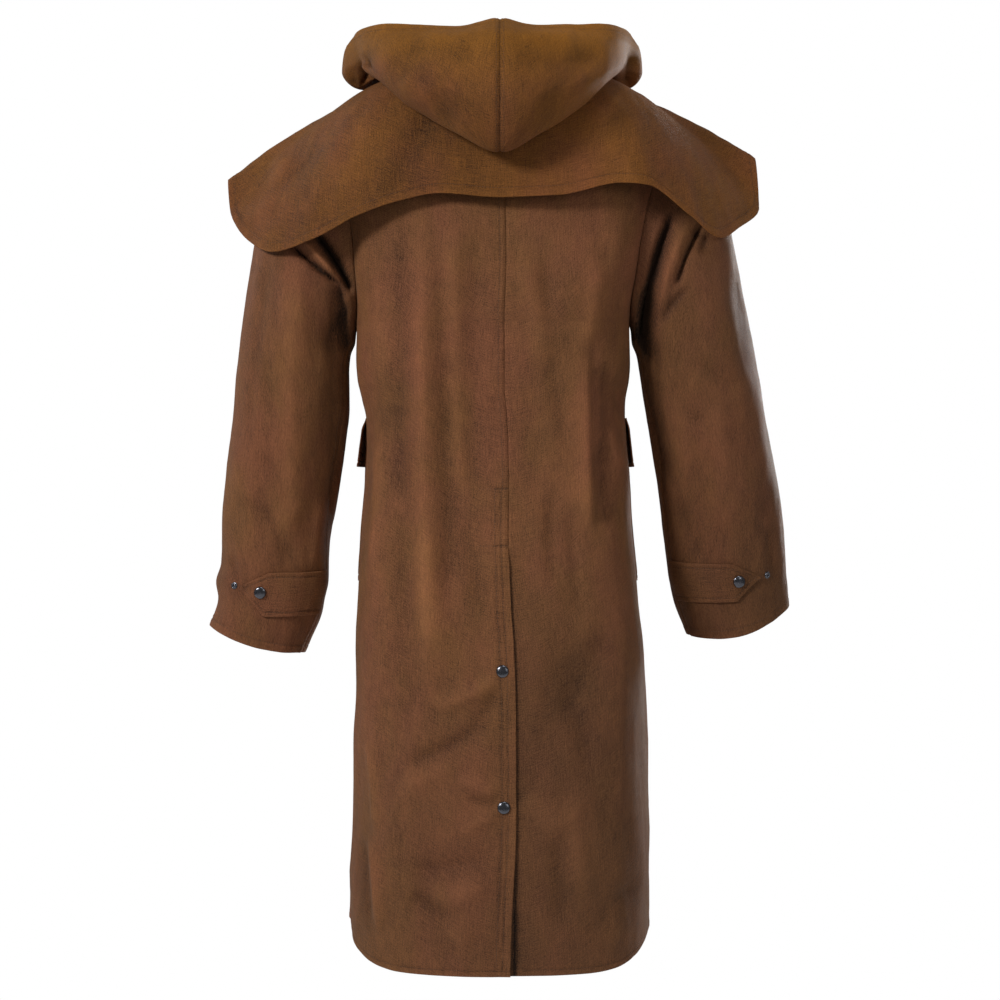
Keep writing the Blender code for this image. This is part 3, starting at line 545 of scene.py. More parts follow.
# Creases run from a top place to a low one, as seen from the back (face 1) or the front (-1).
# Their half widths are those towards the wearer's left and right.
CREASE_COLUMNS = "face x_top z_top x_low z_low bow left right height"
CREASES = {
    "body": table(
        CREASE_COLUMNS,
        (1, 105, -230, 94, -880, 4, 12, 18, 6.8),
        (1, 135, -240, 128, -800, 6, 14, 15, -5.4),
        (1, 61, -230, 48, -640, 3, 13, 13, 4.4),
        (1, 81, -260, 68, -800, -4, 11, 11, -4.8),
        (1, 30, -250, 36, -600, 3, 16, 14, -3.6),
        (1, 70, -560, 22, -760, -6, 16, 12, -5.2),
        (1, 96, -640, 82, -800, 3, 20, 18, 4.8),
        (1, 171, -520, 175, -700, -3, 6, 12, 4.4),
        (1, 52, -700, 75, -830, 4, 14, 14, 3.6),
        (1, -118, -400, -124, -640, 2, 24, 4, 8.5),
        (1, -142, -420, -140, -550, -4, 10, 20, -9),
        (1, -138, -530, -152, -640, 4, 10, 14, -8),
        (1, -150, -500, -168, -560, 3, 7, 9, 4.8),
        (1, -70, -590, -72, -720, 3, 8, 10, -4.8),
        (1, -96, -610, -112, -760, 4, 14, 12, -4.4),
        (1, -30, -280, -60, -420, -6, 14, 18, 4),
        (1, -62, -250, -88, -520, 5, 16, 16, -4),
        (1, -132, -280, -110, -400, -6, 12, 16, 4.8),
        (1, -150, -780, -88, -900, 6, 24, 20, -5.6),
        (1, 4, -844, 86, -878, -4, 10, 10, 6),
        (1, 6, -856, 58, -930, -6, 10, 12, -6),
        (1, 48, -920, 120, -954, 0, 10, 18, -6),
        (1, 60, -960, 130, -990, 4, 14, 14, 5),
        (1, 3, -1009, 42, -999, 0, 7, 6, -6),
        (1, 5, -995, 52, -973, 0, 8, 8, 5),
        (1, 4, -1020, 50, -1044, 0, 8, 8, 4),
        (1, 16, -1074, 114, -1095, -4, 14, 18, -6),
        (1, 20, -1116, 90, -1142, 0, 18, 16, 5.5),
        (1, 120, -1130, 68, -1156, 0, 10, 12, -7),
        (1, 70, -1172, 40, -1190, 0, 10, 10, 4),
        (1, 180, -930, 170, -1050, -4, 4, 8, 5),
        (1, 175, -1060, 164, -1180, -2, 4, 7, 6.5),
        (1, 187, -1060, 176, -1180, 0, 6, 4, -5),
        (1, -108, -890, -150, -1040, 4, 24, 30, -4),
        (1, -36, -996, -88, -1044, 0, 18, 18, 5),
        (1, -100, -1000, -112, -1120, 4, 14, 16, 4.5),
        (1, -74, -1050, -80, -1170, -4, 10, 12, -4.5),
        (1, -188, -1120, -120, -1190, 8, 20, 18, -4.5),
        (-1, 96, -300, 110, -800, -5, 16, 18, -6),
        (-1, 60, -420, 64, -960, 4, 14, 16, 5.2),
        (-1, 140, -740, 120, -1160, 6, 20, 18, 6.8),
        (-1, 90, -980, 104, -1210, -4, 18, 18, -6),
        (-1, -100, -290, -116, -720, 5, 16, 16, -6),
        (-1, -58, -380, -66, -900, -4, 15, 14, 5.2),
        (-1, -136, -760, -112, -1180, -6, 18, 20, 6.8),
        (-1, -86, -960, -94, -1200, 4, 16, 18, -5.6),
        (-1, 12, -465, 80, -520, 6, 10, 8, 3.2),
        (-1, -6, -700, -74, -760, 6, 8, 10, 3.2),
        plain="face",
    ),
    "sleeves": table(
        CREASE_COLUMNS,
        (1, 272, -270, 292, -690, 4, 22, 20, 6.5),
        (1, 228, -320, 238, -670, -6, 12, 12, -6.8),
        (1, 318, -260, 346, -520, 4, 16, 18, -4.2),
        (1, 206, -330, 236, -400, 4, 8, 8, -4.9),
        (1, 330, -540, 290, -620, -6, 12, 12, -3.8),
        (1, 356, -600, 290, -690, -10, 12, 14, -4.2),
        (1, 242, -600, 262, -700, 4, 8, 10, 4.2),
        (1, 376, -680, 352, -735, 4, 8, 8, -4.2),
        (1, -214, -380, -232, -580, 6, 12, 12, -6.8),
        (1, -268, -410, -332, -446, 4, 8, 8, -3.8),
        (1, -238, -440, -280, -500, 6, 10, 10, -3.4),
        (1, -300, -470, -322, -640, 5, 22, 20, 4.9),
        (1, -250, -600, -284, -690, 4, 10, 10, -4.9),
        (1, -376, -640, -388, -720, 4, 8, 8, -3.4),
        (1, -330, -300, -352, -440, -4, 14, 12, -3.4),
        (-1, 220, -400, 330, -470, 10, 10, 12, -5.7),
        (-1, 226, -450, 310, -500, 10, 10, 10, 4.6),
        (-1, 232, -480, 330, -560, 8, 10, 12, -5.7),
        (-1, 300, -240, 320, -640, 6, 18, 18, 4.6),
        (-1, 250, -600, 320, -690, 6, 12, 10, -3.8),
        (-1, -214, -400, -322, -466, -10, 12, 10, -5.7),
        (-1, -222, -452, -312, -506, -10, 10, 10, 4.6),
        (-1, -230, -486, -330, -566, -8, 12, 10, -5.7),
        (-1, -300, -240, -324, -640, -6, 18, 18, 4.6),
        (-1, -246, -610, -322, -690, -6, 10, 12, -3.8),
        plain="face",
    ),
    "armholes": table(
        CREASE_COLUMNS,
        (1, 256, -234, 206, -314, -3, 4, 7, -24),
        (1, 286, -252, 220, -304, 3, 3.6, 3.6, -15),
        (1, 271, -242, 214, -306, 1, 4.6, 4.6, 8),
        (1, 221, -300, 211, -400, 0, 8, 6, -12),
        (1, -236, -206, -188, -392, 6, 4, 8.5, -22),
        (1, -278, -222, -242, -308, 4, 3.5, 4.5, -13),
        (1, -198, -310, -202, -410, 2, 6, 13, -12),
        (1, -258, -312, -224, -358, 4, 6, 6, -6),
        (1, -284, -236, -276, -262, 0, 8, 8, -7),
        (1, -254, -230, -222, -340, 6, 7, 7, 5),
        (-1, 246, -236, 186, -340, -4, 9, 10, -15),
        (-1, 262, -240, 200, -330, -4, 6, 6, 5),
        (-1, -246, -236, -186, -340, 4, 10, 9, -15),
        (-1, -262, -240, -200, -330, 4, 6, 6, 5),
        plain="face",
    ),
    "cape": table(
        CREASE_COLUMNS,
        (1, 110, -40, 230, -210, 12, 30, 26, 3.6),
        (1, 70, -60, 150, -200, 10, 22, 22, -4.4),
        (1, 240, -110, 345, -190, -6, 20, 18, -3.7),
        (1, 300, -120, 345, -215, -6, 16, 16, 4.4),
        (1, -100, -50, -190, -190, -10, 26, 30, 3.6),
        (1, -140, -60, -250, -200, -8, 24, 30, -3),
        (1, -250, -110, -325, -200, -6, 22, 22, 2.4),
        (1, 20, -140, 30, -200, 0, 24, 24, -2),
        (-1, 80, -80, 150, -260, 10, 24, 22, 5.8),
        (-1, 180, -80, 280, -250, 10, 26, 24, -5.1),
        (-1, 50, -110, 60, -280, 4, 18, 18, -4.1),
        (-1, -80, -80, -146, -260, -10, 22, 24, 5.8),
        (-1, -176, -80, -270, -250, -10, 24, 26, -5.1),
        (-1, -52, -110, -64, -280, -4, 18, 18, -4.1),
        plain="face",
    ),
    "hood": table(
        CREASE_COLUMNS,
        (1, 190, 4, 168, -56, 4, 6, 9, -13.5),
        (1, -190, 18, -164, -50, -6, 10, 6, -13.5),
        (1, 206, 0, 196, -40, 3, 6, 6, -5),
        (1, 140, -6, 30, -20, -12, 14, 20, -4.2),
        (1, -20, -14, -130, -4, 12, 20, 14, -4.2),
        (1, 150, -10, 60, -110, -10, 16, 22, -5),
        (1, -140, 0, -60, -100, 10, 22, 16, -4),
        (1, 100, 16, 40, 12, 4, 20, 16, 3),
        (1, -100, 16, -30, 14, 4, 20, 16, 3),
        (1, 130, -40, 90, -70, 4, 12, 12, 3.4),
        (-1, 120, -20, 150, 20, 4, 14, 14, -5),
        (-1, -120, -20, -144, 20, 4, 14, 14, -5),
        plain="face",
    ),
}


def creases(kind, points, facing):
    """How far the creases of one kind of piece stand out at these points. Facing is 1 where the
    cloth faces back and -1 where it faces the front."""
    total = 0
    for face, x_top, z_top, x_low, z_low, bow, left, right, height in zip(*CREASES[kind].values()):
        way = np.array([x_low - x_top, z_low - z_top])
        length = np.hypot(*way)
        way = way / length
        x = points[..., 0] - x_top
        z = points[..., 2] - z_top
        along = (x * way[0] + z * way[1]) / length
        aside = z * way[0] - x * way[1] - 4 * bow * along * (1 - along)
        ends = smooth(*CREASE_STARTS, along) * (1 - smooth(*CREASE_ENDS, along))
        shown = smooth(0, CREASE_FACES, face * facing)
        width = np.where(aside > 0, left, right)
        sharpness = RIDGE_SHARPNESS if height > 0 else TROUGH_SHARPNESS
        total = total + height * ends * shown * np.exp(-np.abs(aside / width) ** sharpness)
    return total


def unevenness(points, size, seed):
    """Smooth seeded noise between -1 and 1, with bumps of about the size given for each axis."""
    lattice = np.random.default_rng(seed).uniform(-1, 1, (LATTICE, LATTICE, LATTICE))
    place = points / np.array(size) + 16 * LATTICE
    cell = np.floor(place).astype(int)
    t = place - cell
    t = t * t * (3 - 2 * t)
    total = 0
    for corner in np.ndindex(2, 2, 2):
        index = (cell + corner) % LATTICE
        weight = np.prod(np.where(corner, t, 1 - t), axis=-1)
        total = total + weight * lattice[index[..., 0], index[..., 1], index[..., 2]]
    return total


def places(start, end, length, first=EDGE_LINES, last=EDGE_LINES, step=STEP):
    """Places from start to end of a stretch of cloth of this length, closer at its two ends."""
    low = [0, *first]
    high = [0, *last]
    stretch = length - low[-1] - high[-1]
    inner = np.linspace(low[-1], length - high[-1], round(stretch / step) + 1)
    ahead = [length - d for d in reversed(high[:-1])]
    return start + (end - start) * np.concatenate([low[:-1], inner, ahead]) / length


def from_edge(points, axis, backwards=False):
    """How far each point lies along the cloth from the sheet's first line, or from its last."""
    lengths = np.linalg.norm(np.diff(points, axis=axis), axis=-1)
    first = np.zeros_like(np.take(lengths, [0], axis=axis))
    total = np.cumsum(np.concatenate([first, lengths], axis=axis), axis=axis)
    return np.take(total, [-1], axis=axis) - total if backwards else total


def unit(vectors):
    return vectors / (np.linalg.norm(vectors, axis=-1, keepdims=True) + TINY)


def tangents(points):
    """The way down a grid at each point, true also where its rows are unevenly spaced."""
    steps = np.diff(points, axis=0)
    steps = np.concatenate([steps[:1], steps, steps[-1:]])
    lengths = np.linalg.norm(steps, axis=-1, keepdims=True) + TINY
    ways = steps / lengths
    return ways[:-1] * lengths[1:] + ways[1:] * lengths[:-1]


def grid_normals(points, like):
    """Unit vectors square to a grid of points, on the same side as like."""
    by_row = tangents(points)
    by_column = tangents(points.swapaxes(0, 1)).swapaxes(0, 1)
    square = unit(np.cross(by_column, by_row))
    return square * np.sign((square * like).sum(axis=-1, keepdims=True))


class Sheet:
    """A sheet of cloth as a grid of points, which remembers how far each lies from its edges."""

    def __init__(self, surface, across, down, flip=1, out=0.0):
        across, down = np.broadcast_arrays(across, down)
        self.square = outward(surface, across, down, flip)
        self.across = across
        self.down = down
        self.points = surface(across, down) + np.multiply(out, 1.0)[..., None] * self.square
        self.start = from_edge(self.points, 1)
        self.end = from_edge(self.points, 1, True)
        self.top = from_edge(self.points, 0)
        self.low = from_edge(self.points, 0, True)
        self.relief, self.folds, self.toned, self.wear_and_painted_shade = np.zeros((4, *across.shape))
        self.lines = []
        self.lapped = ()

    def hang(self, kind, armhole=None, looseness=1.0):
        """Gives it its creases and slack, which die away at an armhole's edge."""
        relief = creases(kind, self.points, self.square[..., 1])
        for size, height, seed in SLACK:
            relief = relief + looseness * height * unevenness(self.points, size, seed)
        if armhole:
            near = 1 - smooth(0, ARMHOLE_FADE, getattr(self, armhole))
            if armhole in ("start", "end"):
                near = near * (1 - smooth(*ARMHOLE_ENDS, self.down))
            relief = relief * (1 - near)
        self.relief += relief

    def sew_down(self):
        """Moves the lapped cloth of an armhole in with the creases that cross its seam."""
        y = self.points[..., 1]
        facing = np.sign(y) * smooth(*SEWN_FACES, np.abs(y))
        self.folds = creases("armholes", self.points, facing)
        self.points[..., 1] += facing * self.folds
        self.square = grid_normals(self.points, self.square)

    def dip(self, edge, depth=SEAM_DIP, width=SEAM_DIP_WIDTH):
        """Sinks an edge into its seam."""
        self.relief -= depth * np.exp(-((getattr(self, edge) / width) ** 2))

    def double(self, edge, depth, rise):
        """Doubles the cloth as far as this from an edge."""
        self.relief += rise * (1 - smooth(depth, depth + FELL, getattr(self, edge)))

    def hem(self, edge, depth=HEM_DEPTH):
        """A turned hem, with stitches along its upper side, painted shade in their groove, and a
        rubbed edge.
        """
        self.double(edge, depth, HEM_RISE)
        self.rub_or_shade(edge, 1.0, HEM_RUBBED)
        self.stitched(edge, depth - HEM_STITCHED)

    def rub_or_shade(self, edge, amount, width=0.002):
        """Pales an edge by this rubbed wear, which dies away over this width, or paints shade if
        negative.
        """
        self.wear_and_painted_shade += amount * np.exp(-getattr(self, edge) / width)

    def fade(self, left, right):
        """Painted light towards the coat's left and right by these shares, painted shade if
        negative.
        """
        x = self.points[..., 0]
        self.wear_and_painted_shade += left * smooth(0, SIDE_LIGHT_WIDTH, x) + right * smooth(0, SIDE_LIGHT_WIDTH, -x)

    def stitched(self, edge, distance, span=None, shade=STITCH_SHADE):
        """A row of stitches at this distance from an edge, or this far down, which sinks into the
        cloth. A span holds the places down the sheet, or from its start, between which it runs."""
        away = getattr(self, edge) - distance
        pucker = 1 + 0.5 * unevenness(self.points, *STITCH_PUCKER)
        sunk = STITCH_SINK * pucker * np.exp(-((away / STITCH_SINK_WIDTH) ** 2))
        if span:
            along = self.down if edge in ("start", "end") else self.start
            sunk = sunk * ((along >= span[0]) & (along <= span[1]))
        self.relief -= sunk
        # Painted shade along the row, where it sinks in.
        self.wear_and_painted_shade -= shade * sunk / STITCH_SINK
        self.lines.append((edge, distance, span))

    def settle(self):
        """Moves the points out by the relief."""
        self.points = self.points + self.relief[..., None] * self.square
        self.square = grid_normals(self.points, self.square)

    def at(self, rows, columns):
        """Points and normals at places between the grid's lines."""
        count_rows, count_columns = self.across.shape
        i = np.clip(np.floor(rows).astype(int), 0, count_rows - 2)
        j = np.clip(np.floor(columns).astype(int), 0, count_columns - 2)
        s = (rows - i)[..., None]
        t = (columns - j)[..., None]
        read_at = []
        for grid in (self.points, self.square):
            high = grid[i, j] * (1 - t) + grid[i, j + 1] * t
            low = grid[i + 1, j] * (1 - t) + grid[i + 1, j + 1] * t
            read_at.append(high * (1 - s) + low * s)
        return read_at

    def line(self, edge, distance, span):
        """The grid places of a line at this distance from an edge."""
        upright = edge in ("start", "end")
        grid = getattr(self, edge)
        along = self.down
        if not upright:
            grid = grid.T
            along = self.start.T
        order = 1 if edge in ("start", "top", "down") else -1
        steps = np.arange(grid.shape[1], dtype=float)[::order]
        aside = np.array([np.interp(distance, line[::order], steps) for line in grid])
        ahead = np.arange(len(grid), dtype=float)
        if span:
            kept = (along[:, 0] >= span[0]) & (along[:, 0] <= span[1])
            aside = aside[kept]
            ahead = ahead[kept]
        return (ahead, aside) if upright else (aside, ahead)


EDGES = ((0, 0, "top"), (0, -1, "low"), (1, 0, "start"), (1, -1, "end"))


def round_edges(outer, inner, lapped):
    """Brings the corners of the free edges together."""
    for axis, place, name in EDGES:
        if name not in lapped:
            face = np.moveaxis(outer, axis, 0)
            behind = np.moveaxis(inner, axis, 0)
            middle = (face[place] + behind[place]) / 2
            face[place] += EDGE_ROUNDING * (middle - face[place])
            behind[place] += EDGE_ROUNDING * (middle - behind[place])


def draw_edges(outer, inner, lapped):
    """Draws the four edges back by half a seam gap, or on past the seam where they are sewn."""
    for axis, place, name in EDGES:
        face = np.moveaxis(outer, axis, 0)
        behind = np.moveaxis(inner, axis, 0)
        reach = -SEAM_LAP if name in lapped else SEAM_GAP / 2
        way = reach * unit(face[1 if place == 0 else -2] - face[place])
        face[place] += way
        behind[place] += way


def signed_volume(points, faces):
    a, b, c, d = (points[faces[:, k]] for k in range(4))
    return (np.cross(a, b) * c).sum() + (np.cross(a, c) * d).sum()


# Materials


class Nodes:
    """A material's nodes, added one after another."""

    def __init__(self, name):
        self.material = bpy.data.materials.new(name)
        self.material.use_nodes = True
        self.tree = self.material.node_tree
        self.shader = self.tree.nodes["Principled BSDF"]

    def put(self, node, values):
        for key, value in values.items():
            if isinstance(value, bpy.types.NodeSocket):
                self.tree.links.new(value, node.inputs[key])
            else:
                node.inputs[key].default_value = value

    def add(self, kind, values, out=0, **settings):
        node = self.tree.nodes.new("ShaderNode" + kind)
        for name, setting in settings.items():
            setattr(node, name, setting)
        self.put(node, values)
        return node.outputs[out]

    def added(self, value, *parts):
        """The value with parts added to it, each of them an output and how much of it."""
        for part, amount in parts:
            value = self.add("Math", {0: part, 1: amount, 2: value}, operation="MULTIPLY_ADD")
        return value

    def noise(self, vector, scale, detail=2.0, roughness=0.5):
        """Noise between -1 and 1."""
        values = {"Vector": vector, "Scale": scale, "Detail": detail, "Roughness": roughness}
        return self.added(-2.0, (self.add("TexNoise", values), 4.0))

    def place(self):
        """The point in the coat's own metres."""
        return self.add("TexCoord", {}, out=3)

    def stretched(self, vector, x, y, z=1.0):
        return self.add("VectorMath", {0: vector, 1: (x, y, z)}, operation="MULTIPLY")

    def attribute(self, name):
        return self.add("Attribute", {}, out=2, attribute_name=name)

    def mixed(self, share, first, second):
        """A colour between two others, each a colour or an output."""
        values = {0: share, 6: first, 7: second}
        return self.add("Mix", values, out=2, data_type="RGBA")

    def scaled(self, colour, value):
        return self.add("VectorMath", {0: colour, "Scale": value}, operation="SCALE")


THREAD_PITCH = 0.00085  # from one thread of the canvas to the next
WAVES_PER_UNIT = 20 / (2 * pi)  # bands of a wave texture of scale 1 in a length of 1
SLUB = (900, 45)  # how fine the slubs are across their thread and along it
# How much each part pales or darkens the canvas, and raises it
SHADES = {"broad": 0.13, "mottle": 0.11, "streak": 0.09, "fleck": 0.52, "slub": 0.26}
MARKED_SHADES = {"worn": 0.20, "relief_shading": 46.0}  # the relief's painted shade in troughs and painted highlights on ridges are per metre of relief
HEIGHTS = {"weave": 0.35, "slub": 0.40, "fleck": 0.55}
WEAVE_DEPTH = 0.0004
DARKEST = 0.12
WAXED = (0.66, 0.05)  # roughness, and how much the mottling changes it
RUSTY = 0.45  # share of the rust tone where its patches are middling
SHEEN = {
    "Specular IOR Level": 0.15,
    "Sheen Weight": 0.05,
    "Sheen Roughness": 0.5,
    "Sheen Tint": (1.0, 0.70, 0.45, 1),
}


def canvas(name, brown, rust, tone):
    """Matte waxed canvas: woven threads, slubs, soft mottling, rubbed paler edges, painted
    highlights on ridges, painted shade in troughs, and painted light, shade and a shading tone
    where a piece is marked."""
    nodes = Nodes(name)
    woven = nodes.add("UVMap", {}, uv_map="cloth")
    place = nodes.place()
    wave_scale = 1 / (THREAD_PITCH * WAVES_PER_UNIT)
    wave = {"Vector": woven, "Scale": wave_scale, "Distortion": 0.6, "Detail": 1.0}
    threads = [nodes.add("TexWave", wave, out=1, bands_direction=way) for way in ("X", "Y")]
    warp = nodes.noise(nodes.stretched(woven, *SLUB), 1.0)
    weft = nodes.noise(nodes.stretched(woven, *reversed(SLUB)), 1.0)
    fleck = nodes.noise(woven, 620.0, 2.0, 0.6)
    mottle = nodes.noise(place, 30.0, 5.0, 0.62)
    streak = nodes.noise(nodes.stretched(place, 1.0, 1.0, 0.22), 70.0, 4.0, 0.6)
    broad = nodes.noise(place, 6.5, 3.0)

    parts = (("broad", broad), ("mottle", mottle), ("streak", streak), ("fleck", fleck))
    parts += (("slub", warp), ("slub", weft))
    value = nodes.added(1.0, *((part, SHADES[kind]) for kind, part in parts))
    # The marks add painted shade and light, and rubbed wear, to the canvas's colour.
    value = nodes.added(value, *((nodes.attribute(k), v) for k, v in MARKED_SHADES.items()))
    value = nodes.add("Math", {0: value, 1: DARKEST}, operation="MAXIMUM")
    patches = nodes.noise(nodes.stretched(place, 1.0, 1.0, 0.55), 11.0, 3.0, 0.6)
    rusty = nodes.add("Clamp", {0: nodes.added(RUSTY, (patches, 1.0))})
    tint = nodes.mixed(rusty, (*brown, 1), (*rust, 1))
    # The shading tone: painted shade on the body, painted light on the hood's top, where marked.
    tint = nodes.mixed(nodes.attribute("toned"), tint, (*tone, 1))

    parts = (("slub", warp), ("slub", weft), ("fleck", fleck), *(("weave", t) for t in threads))
    height = nodes.added(0.0, *((part, HEIGHTS[kind]) for kind, part in parts))
    bump = nodes.add("Bump", {"Height": height, "Strength": 0.8, "Distance": WEAVE_DEPTH})
    looks = {"Base Color": nodes.scaled(tint, value), "Normal": bump}
    looks["Roughness"] = nodes.added(WAXED[0], (mottle, WAXED[1]))
    nodes.put(nodes.shader, looks | SHEEN)
    return nodes.material


def thread(name, colour):
    """Stitching thread, a little darker than its canvas."""
    nodes = Nodes(name)
    value = nodes.added(0.60, (nodes.noise(nodes.place(), 900.0), 0.12))
    nodes.put(nodes.shader, {"Base Color": nodes.scaled(colour, value), "Roughness": 0.6})
    return nodes.material


def gunmetal(name, colour):
    """Dark plated metal, a little scuffed and paler where it is rubbed."""
    nodes = Nodes(name)
    scuff = nodes.noise(nodes.place(), 700.0, 4.0, 0.7)
    value = nodes.added(1.0, (scuff, 0.20), (nodes.attribute("worn"), 1.1))
    bump = nodes.add("Bump", {"Height": scuff, "Strength": 0.2, "Distance": 0.0001})
    looks = {"Base Color": nodes.scaled(colour, value), "Normal": bump, "Metallic": 1.0}
    looks["Roughness"] = nodes.added(0.25, (scuff, 0.06))
    nodes.put(nodes.shader, looks)
    return nodes.material


def plain(name, colour, roughness):
    nodes = Nodes(name)
    nodes.put(nodes.shader, {"Base Color": (*colour, 1), "Roughness": roughness})
    return nodes.material


BODY_BROWN = (0.151, 0.062, 0.022)
BODY_RUST = (0.163, 0.059, 0.026)
# The colour of painted shade where body pieces take their shading tone
BODY_SHADE_COLOUR = (0.084, 0.035, 0.014)
CAPE_BROWN = (0.150, 0.055, 0.010)
CAPE_RUST = (0.152, 0.051, 0.015)
# Painted light, a paler gold on the hood's top
CAPE_LIT_GOLD = (0.168, 0.063, 0.006)
DARK_METAL = (0.080, 0.081, 0.092)

CANVAS = {
    "body_canvas": canvas("body_canvas", BODY_BROWN, BODY_RUST, BODY_SHADE_COLOUR),
    "cape_canvas": canvas("cape_canvas", CAPE_BROWN, CAPE_RUST, CAPE_LIT_GOLD),
}
THREADS = {
    "body_canvas": thread("body_thread", BODY_BROWN),
    "cape_canvas": thread("cape_thread", CAPE_BROWN),
}
METAL = gunmetal("gunmetal", DARK_METAL)


# Pieces


def smooth_mesh(name, points, faces):
    mesh = bpy.data.meshes.new(name)
    mesh.from_pydata(points.tolist(), [], faces)
    mesh.shade_smooth()
    return mesh


def mark(mesh, name, values):
    """A number at each of a mesh's points, for its material."""
    marks = mesh.attributes.new(name, "FLOAT", "POINT")
    marks.data.foreach_set("value", values.astype(np.float32))


def add_object(name, mesh, finish):
    mesh.materials.append(finish)
    thing = bpy.data.objects.new(name, mesh)
    bpy.context.scene.collection.objects.link(thing)
    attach(thing, "root")
    return thing


def add_cloth(name, sheet, slot="body_canvas"):
    """A closed thin shell on a sheet, which stands for the solid of this name."""
    sheet.settle()
    outer = sheet.points.copy()
    inner = outer - CLOTH * sheet.square
    round_edges(outer, inner, sheet.lapped)
    draw_edges(outer, inner, sheet.lapped)
    rows, columns = sheet.across.shape
    index = np.arange(rows * columns).reshape(rows, columns)
    corners = (index[:-1, :-1], index[:-1, 1:], index[1:, 1:], index[1:, :-1])
    front = np.stack(corners, axis=-1).reshape(-1, 4)
    rim = np.concatenate([index[0], index[1:, -1], index[-1, -2::-1], index[-2:0:-1, 0]])
    ahead = np.roll(rim, -1)
    behind = rows * columns
    edge = np.stack([rim, rim + behind, ahead + behind, ahead], axis=-1)
    faces = np.concatenate([front, front[:, ::-1] + behind, edge])
    points = np.concatenate([outer.reshape(-1, 3), inner.reshape(-1, 3)])
    if signed_volume(points, faces) < 0:
        faces = faces[:, ::-1]
    mesh = smooth_mesh(name + "_cloth", points, faces.tolist())
    lay_out(mesh, sheet, faces)
    thing = add_object(name + "_cloth", mesh, CANVAS[slot])
    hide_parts(name)
    sew(name + "_stitches", sheet, slot)


def lay_out(mesh, sheet, faces):
    """Lays the cloth out flat for its weave, and marks its relief for painted shade and highlights,
    its rubbed wear with painted light and shade, and where it takes a painted shading tone.
    """
    middle = sheet.start - sheet.start[:, -1:] / 2
    flat = np.stack([middle, sheet.top], axis=-1).reshape(-1, 2)
    flat = np.concatenate([flat, flat])
    layer = mesh.uv_layers.new(name="cloth")
    layer.data.foreach_set("uv", flat[faces.reshape(-1)].astype(np.float32).ravel())
    # Painted shade in troughs and painted highlights on ridges, more in the armholes' deep folds.
    relief_shading = sheet.relief + FOLD_SHADE * sheet.folds
    for name, grid in (("relief_shading", relief_shading), ("worn", sheet.wear_and_painted_shade), ("toned", sheet.toned)):
        mark(mesh, name, np.concatenate([grid.ravel(), grid.ravel()]))


def sew(name, sheet, slot):
    """A sheet's rows of stitches as one mesh."""
    points = []
    faces = []
    for line in sheet.lines:
        rows, columns = sheet.line(*line)
        path, _ = sheet.at(rows, columns)
        along = np.concatenate([[0], np.cumsum(np.linalg.norm(np.diff(path, axis=0), axis=-1))])
        count = int(along[-1] / STITCH_PITCH)
        if count < 2:
            continue
        starts = (np.arange(count) + 0.5) * along[-1] / count - STITCH_LENGTH / 2
        reach = starts[:, None] + STITCH_LENGTH * STITCH_PLACES
        row = np.interp(reach, along, rows)
        column = np.interp(reach, along, columns)
        place, normal = sheet.at(row, column)
        side = np.cross(unit(place[:, -1] - place[:, 0])[:, None], normal)
        up = STITCH_RISE * normal
        wide = STITCH_HALF_WIDTH * side
        sunk = place - STITCH_BURIED * up
        corners = [place + wide, place + up, place - wide, sunk]
        rings = [np.stack([corner[:, k] for corner in corners], axis=1) for k in (1, 2)]
        first = sum(len(p) for p in points) + 10 * np.arange(count)[:, None]
        for corner in STITCH_FACES:
            faces += (first + np.array(corner)).tolist()
        block = np.concatenate([sunk[:, :1], *rings, sunk[:, 3:]], axis=1)
        points.append(block.reshape(-1, 3))
    if points:
        mesh = smooth_mesh(name, np.concatenate(points), faces)
        add_object(name, mesh, THREADS[slot])


# Body

BACK_WIDTH = 0.265  # about how wide the panels are, for the spacing of their lines
FRONT_WIDTH = 0.33
UNDERLAP_WIDTH = 0.026
BODY_HEM = 0.010
SIDE_DIP = 0.0007
SHOULDER_ROWS = 15
VENT_BOX = (0.587, 0.664)  # how far down the stitched box above the vent starts and ends
VENT_ROWS = (0.0100, 0.0185)  # the vent's stitches, from its edge
VENT_SHADE_WIDTH = 0.0028  # of the painted shadow in a line beside the lap
VENT_SHADE = 4.5
LOOSE_SHADE = 2.4  # more of that painted shadow, and broader, below the last snap
# Painted light on the right back
RIGHT_PAINTED_LIGHT = 0.5
LAP_RUBBED = 0.6
LAP_STITCH_SHADE = 1.6
BOX_STITCH_SHADE = 2.0
LAP_PUCKER = ((0.030, 0.030, 0.0075), 13)  # its size along each axis, and its seed
LAP_PUCKER_RISE = 0.0007
LAP_PUCKER_ENDS = (0.014, 0.022)
CENTRE_RISE = 0.0005  # of the doubled cloth beside the centre seam
CENTRE_FELL = (0.0085, 0.0110)  # where that doubled cloth runs out
CENTRE_STITCHED = 0.0080
# Painted shade on the underlap, as it lies in the lap's shadow
UNDERLAP_SHADE_TONE = 0.8
UNDERLAP_SHADE = 2.2
SEAM_FADE = 0.05  # beside the side seams, where the skirt's painted shade dies away
SKIRT_SHADE = {1: (0.34, 0.75, 1.10), -1: (0.65, 0.55, 0.95)}  # its share of painted shade, and the drops it grows in
FRONT_HEM = 0.0045
PLACKET = 0.048  # from the left front's edge to its row of stitches
PLACKET_TOP = 0.02
PANELS = {}  # finished sheets that carry snaps


